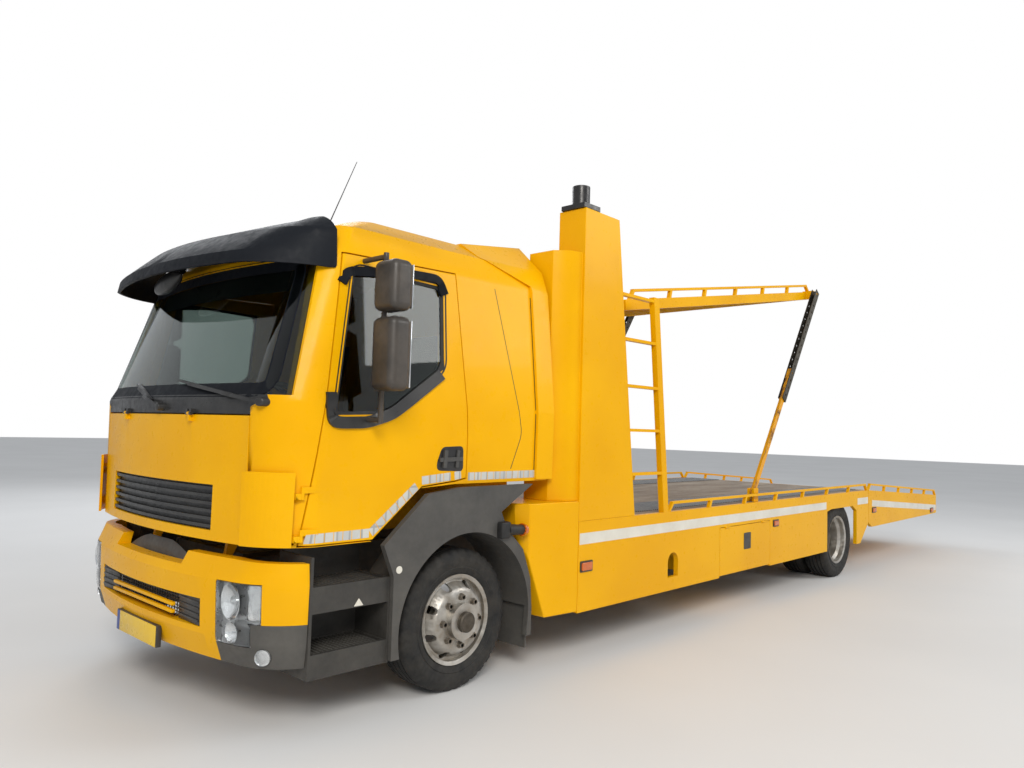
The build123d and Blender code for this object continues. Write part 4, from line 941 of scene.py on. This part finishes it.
def intake_bars(bm):
    for foot in BAR_FEET:
        add_block(bm, (BAR_FACE, -BAR_REACH, foot), (BAR_BACK, BAR_REACH, foot + BAR_HIGH), 0.004)


def intake_mesh(bm):
    for i in range(UPRIGHT_WIRES):
        y = -UPRIGHT_REACH + 2 * UPRIGHT_REACH * i / (UPRIGHT_WIRES - 1)
        add_block(bm, (MESH_FACE, y - WIRE_HALF, INTAKE_LOW), (MESH_BACK, y + WIRE_HALF, INTAKE_HIGH))
    for i in range(LEVEL_WIRES):
        z = LEVEL_START + LEVEL_PITCH * i
        add_block(bm, (MESH_FACE, -LEVEL_REACH, z - WIRE_HALF), (MESH_BACK, LEVEL_REACH, z + WIRE_HALF))


both_sides(intake_end, "intake_end", "root", "black_plastic", BLACK)
single(intake_bars, "intake_bars", "root", "body_yellow", YELLOW)
single(intake_mesh, "intake_mesh", "root", "black_plastic", BLACK)

# The number plate and its strip stay blank
PLATE_FACE = -1.3905
PLATE_BACK = -1.3875
PLATE_LOW = 0.3295
PLATE_HIGH = 0.4385
PLATE_HALF = 0.260
FACE_END = 0.222
STRIP_START = 0.2225
HOLDER_FACE = -1.388
HOLDER_BACK = -1.360
HOLDER_HALF = 0.268
HOLDER_RIM = 0.003


def plate_holder(bm):
    low = (HOLDER_FACE, -HOLDER_HALF, PLATE_LOW - HOLDER_RIM)
    add_block(bm, low, (HOLDER_BACK, HOLDER_HALF, PLATE_HIGH + HOLDER_RIM), 0.004)


def plate_part(bm, start, end):
    add_block(bm, (PLATE_FACE, start, PLATE_LOW), (PLATE_BACK, end, PLATE_HIGH), 0.001)


single(plate_holder, "plate_holder", "root", "black_plastic", BLACK)
single(lambda bm: plate_part(bm, -PLATE_HALF, FACE_END), "plate_face", "root", "body_yellow", PLATE)
single(lambda bm: plate_part(bm, STRIP_START, PLATE_HALF), "plate_band", "root", "body_yellow", BLUE)

# Wheels: hub caps, nuts and tyres with their tread
FRONT_HUB = JOINTS["roll_front_left"]["pos_m"]
REAR_HUB = JOINTS["roll_rear_left"]["pos_m"]
FRONT_AXLE = (FRONT_HUB[0] - AXLE_X, FRONT_HUB[2])
REAR_AXLE = (REAR_HUB[0] - AXLE_X, REAR_HUB[2])
FRONT_TYRE_Y = FRONT_HUB[1]
OUTER_TYRE_Y = REAR_HUB[1]
TWIN_SPACING = 0.288
FRONT_FACE = -1.124
REAR_FACE = -0.928
NUT_COUNT = 8
NUT_CIRCLE = 0.1375
NUT_RADIUS = 0.0175
NUT_OUT = 0.026
WASHER_RADIUS = 0.021
WASHER_OUT = 0.006
WASHER_SUNK = 0.002
FRONT_CAP_OUT = 0.070
REAR_CAP_OUT = 0.110
CAP_FLANGE = [(0.060, 0.030), (0.078, 0.026), (0.094, 0.022), (0.096, 0.002)]


def nuts(bm, axle, face):
    """A ring of wheel nuts on their washers, standing out from the wheel's face."""
    for i in range(NUT_COUNT):
        angle = math.tau * i / NUT_COUNT
        x = axle[0] + NUT_CIRCLE * math.cos(angle)
        z = axle[1] + NUT_CIRCLE * math.sin(angle)
        washer_face = (x, face - WASHER_OUT, z)
        add_bar(bm, (x, face + WASHER_SUNK, z), washer_face, WASHER_RADIUS, 16)
        add_bar(bm, washer_face, (x, face - NUT_OUT, z), NUT_RADIUS, 6)


def hub_cap(bm, axle, face, out):
    """A turned cap with a flange, standing out from the wheel's face over the hub's end."""
    section = [(0.0, out), (0.050, out), (0.058, out - 0.006)] + CAP_FLANGE
    add_ring(bm, [(radius, face - stand) for radius, stand in section], axle, 40)


TYRE_RADIUS = 0.410
TYRE_HALF = 0.125
# One side wall from the bead outwards, as (radius, place from the tyre's middle)
SIDE_WALL = [
    (0.262, -0.104), (0.275, -0.112), (0.292, -0.117), (0.300, -0.1215), (0.306, -0.118),
    (0.326, -0.1248), (0.350, -TYRE_HALF), (0.362, -TYRE_HALF), (0.366, -0.1225), (0.376, -0.119),
    (0.392, -0.112), (0.403, -0.104),
]
# The far edge of the tread, and the tyre's inner face, in the same way
SHOULDER = (0.409, 0.094)
BORE = [(0.262, 0.104), (0.256, 0.06), (0.256, -0.06), (0.262, -0.104)]
GROOVES = (-0.062, -0.022, 0.022, 0.062)
GROOVE_DEPTH = 0.012
GROOVE_MOUTH_HALF = 0.006
GROOVE_FLOOR_HALF = 0.0035
TYRE_STEPS = 144
NOTCH_EVERY = 4
NOTCH_DEPTH = 0.009
NOTCH_BAND = (0.085, 0.115)
NOTCH_FROM = 0.390


def tyre_section(y):
    """The closed section as (radius, y): a side wall, the grooved tread, the other side wall and the bore."""
    tread = []
    for groove in GROOVES:
        floor_radius = TYRE_RADIUS - GROOVE_DEPTH
        tread += [(TYRE_RADIUS, groove - GROOVE_MOUTH_HALF), (floor_radius, groove - GROOVE_FLOOR_HALF)]
        tread += [(floor_radius, groove + GROOVE_FLOOR_HALF), (TYRE_RADIUS, groove + GROOVE_MOUTH_HALF)]
    radius, place = SHOULDER
    points = SIDE_WALL + [(radius, -place)] + tread + [SHOULDER]
    points += [(radius, -place) for radius, place in reversed(SIDE_WALL)] + BORE
    return [(radius, y + place) for radius, place in points]


def tyre(bm, axle, y):
    """A tyre whose shoulders are notched into blocks."""
    first = len(bm.verts)
    add_ring(bm, tyre_section(y), axle, TYRE_STEPS)
    bm.verts.ensure_lookup_table()
    hub = at(axle[0], 0.0, axle[1])
    near, far = NOTCH_BAND
    for vert in bm.verts[first:]:
        out = Vector((vert.co.x - hub.x, 0.0, vert.co.z - hub.z))
        if out.length > NOTCH_FROM and near < abs(vert.co.y - y) < far:
            step = round(math.atan2(out.z, out.x) / math.tau * TYRE_STEPS)
            if step % NOTCH_EVERY == 0:
                vert.co -= out.normalized() * NOTCH_DEPTH


def twin_tyres(bm):
    tyre(bm, REAR_AXLE, OUTER_TYRE_Y)
    tyre(bm, REAR_AXLE, OUTER_TYRE_Y + TWIN_SPACING)


both_sides(lambda bm: nuts(bm, FRONT_AXLE, FRONT_FACE), "front_nuts", "wheel_front_SIDE", "cast_parts", NUT)
both_sides(lambda bm: nuts(bm, REAR_AXLE, REAR_FACE), "rear_nuts", "wheel_rear_SIDE", "cast_parts", NUT)
both_sides(lambda bm: hub_cap(bm, FRONT_AXLE, FRONT_FACE, FRONT_CAP_OUT), "front_hub_cap",
           "wheel_front_SIDE", "cast_parts", HUB)
both_sides(lambda bm: hub_cap(bm, REAR_AXLE, REAR_FACE, REAR_CAP_OUT), "rear_hub_cap",
           "wheel_rear_SIDE", "cast_parts", HUB)
both_sides(lambda bm: tyre(bm, FRONT_AXLE, FRONT_TYRE_Y), "front_tread", "wheel_front_SIDE", "tyre_rubber",
           TYRE, hides=("front_tyre_SIDE",))
both_sides(twin_tyres, "rear_tread", "wheel_rear_SIDE", "tyre_rubber", TYRE, hides=("rear_tyres_SIDE",))

# Ribs on the steps
STEP_TOPS = [0.735, 0.410]
RIB_COUNT = 15
RIB_START = -0.985
RIB_STEP = 0.0265
RIB_WIDE = 0.009
RIB_OUTER = -1.134
RIB_INNER = -0.895
RIB_FOOT = 0.0125
RIB_TOP = 0.004


def step_treads(bm):
    for top in STEP_TOPS:
        for i in range(RIB_COUNT):
            x = RIB_START + RIB_STEP * i
            add_block(bm, (x, RIB_OUTER, top - RIB_FOOT), (x + RIB_WIDE, RIB_INNER, top - RIB_TOP), 0.001)


both_sides(step_treads, "step_treads", "root", "grey_plastic", GREY)

# White reflectors: a triangle on the step and a spot on the mudguard
STEP_REFLECTOR = [(-0.786, 0.611), (-0.729, 0.611), (-0.757, 0.649)]
GUARD_REFLECTOR = oval(-0.527, 0.770, 0.020, 0.020, 16)


def white_reflectors(bm):
    for skin, outline in ((step_skin, STEP_REFLECTOR), (guard_skin, GUARD_REFLECTOR)):
        pad(bm, skin, outline, edge=0.004, crown=0.001, radius=0.004)


both_sides(white_reflectors, "white_reflectors", "root", "body_yellow", STRIPE)

# The rubber arm behind the front wheel, with a round lamp at its end
ARM_FOOT = ((0.215, -1.236, 0.872), (0.300, -1.165, 0.972))
ARM_START = (0.290, -1.205, 0.921)
ARM_END = (0.425, -1.205, 0.912)
ARM_LAMP_END = (0.455, -1.205, 0.910)
ARM_RADII = (0.036, 0.030)
ARM_LAMP_RADII = (0.040, 0.034)


def lamp_stub(bm):
    add_block(bm, *ARM_FOOT, 0.012)
    add_bar(bm, ARM_START, ARM_END, ARM_RADII[0], 20, ARM_RADII[1])


def round_lamp(bm):
    add_bar(bm, ARM_END, ARM_LAMP_END, ARM_LAMP_RADII[0], 24, ARM_LAMP_RADII[1])


both_sides(lamp_stub, "lamp_stub", "root", "tyre_rubber", SEAL)
both_sides(round_lamp, "round_lamp", "root", "lamp_lens", AMBER)

# Side marker lamps, each a black base with an amber lens, as (name, skin, body, (x from, x to, z from, z to))
MARKERS = [
    ("front", side_skin, "root", (0.963, 1.097, 0.593, 0.666)),
    ("middle", side_skin, "root", (3.907, 4.028, 0.684, 0.749)),
    ("tail_front", tail_skin, "tail", (6.634, 6.776, 0.655, 0.720)),
    ("tail_rear", tail_skin, "tail", (9.052, 9.201, 0.518, 0.585)),
]
BASE_HIGH = 0.006
LENS_HIGH = 0.013
LENS_FOOT = 0.004
LENS_END_RIM = 0.012
LENS_LONG_RIM = 0.010


def marker_base(bm, skin, area):
    pad(bm, skin, rectangle(*area), BASE_HIGH, crown=0.001, radius=0.01)


def marker_lens(bm, skin, area):
    x0, x1, z0, z1 = area
    inner = rectangle(x0 + LENS_END_RIM, x1 - LENS_END_RIM, z0 + LENS_LONG_RIM, z1 - LENS_LONG_RIM)
    pad(bm, skin, inner, LENS_HIGH, crown=0.004, sink=-LENS_FOOT, radius=0.008)


for name, skin, body, area in MARKERS:
    both_sides(lambda bm: marker_base(bm, skin, area), name + "_marker_base", body, "black_plastic", BLACK)
    both_sides(lambda bm: marker_lens(bm, skin, area), name + "_marker_lens", body, "lamp_lens", AMBER)

# The small dark sign on the toolbox door stays blank
SIGN = rectangle(3.318, 3.449, 0.529, 0.673)


def blank_sign(bm):
    pad(bm, side_skin, SIGN, edge=0.003, radius=0.012)


single(blank_sign, "blank_sign", "toolbox_left", "black_plastic", BLACK)
both_sides(locker_seam, "locker_seam", "root", "black_plastic", SEAL)

# Studio
floor_mesh = bpy.data.meshes.new("studio_floor")
bm = bmesh.new()
bmesh.ops.create_grid(bm, x_segments=1, y_segments=1, size=60.0)
bm.to_mesh(floor_mesh)
bm.free()
floor = bpy.data.objects.new("studio_floor", floor_mesh)
bpy.context.collection.objects.link(floor)
pale = Finish("studio_floor")
pale.join(pale.ramp(pale.noise(0.4, 3.0), (0.3, (0.74, 0.74, 0.735)), (0.7, (0.78, 0.78, 0.775))),
          pale.shader.inputs["Base Color"])
pale.set(Roughness=0.9)
floor_mesh.materials.append(pale.material)

# The camera, also through glass, sees a bright backdrop, and the dim one lights the truck
world = bpy.data.worlds.new("studio")
bpy.context.scene.world = world
world.use_nodes = True
sky_nodes = world.node_tree.nodes
sky_links = world.node_tree.links
sky_nodes.clear()
sky_out = sky_nodes.new("ShaderNodeOutputWorld")
dim = sky_nodes.new("ShaderNodeBackground")
dim.inputs["Color"].default_value = (0.93, 0.96, 1.0, 1.0)
dim.inputs["Strength"].default_value = 0.55
bright = sky_nodes.new("ShaderNodeBackground")
bright.inputs["Color"].default_value = (1.0, 1.0, 1.0, 1.0)
bright.inputs["Strength"].default_value = 1.0
ray = sky_nodes.new("ShaderNodeLightPath")
seen = sky_nodes.new("ShaderNodeMath")
seen.operation = "MAXIMUM"
sky_links.new(ray.outputs["Is Camera Ray"], seen.inputs[0])
sky_links.new(ray.outputs["Is Transmission Ray"], seen.inputs[1])
blend = sky_nodes.new("ShaderNodeMixShader")
sky_links.new(seen.outputs[0], blend.inputs[0])
sky_links.new(dim.outputs[0], blend.inputs[1])
sky_links.new(bright.outputs[0], blend.inputs[2])
sky_links.new(blend.outputs[0], sky_out.inputs[0])

# Each light's place, aim, size, power and colour
LIGHTS = {
    "key": ((-7.0, -9.0, 7.5), (1.0, 0.0, 1.2), 4.0, 900.0, (1.0, 0.96, 0.90)),
    "fill": ((10.0, -10.0, 8.0), (4.0, 0.0, 1.0), 6.0, 520.0, (1.0, 0.99, 0.97)),
    "rim": ((4.0, 11.0, 9.0), (3.0, 0.0, 1.0), 6.0, 420.0, (0.95, 0.97, 1.0)),
}
for name, (place, aim, size, power, colour) in LIGHTS.items():
    lamp = bpy.data.lights.new(name, "AREA")
    lamp.size = size
    lamp.energy = power
    lamp.color = colour
    holder = bpy.data.objects.new(name, lamp)
    bpy.context.collection.objects.link(holder)
    holder.location = at(*place)
    holder.rotation_euler = (at(*aim) - at(*place)).to_track_quat("-Z", "Y").to_euler()
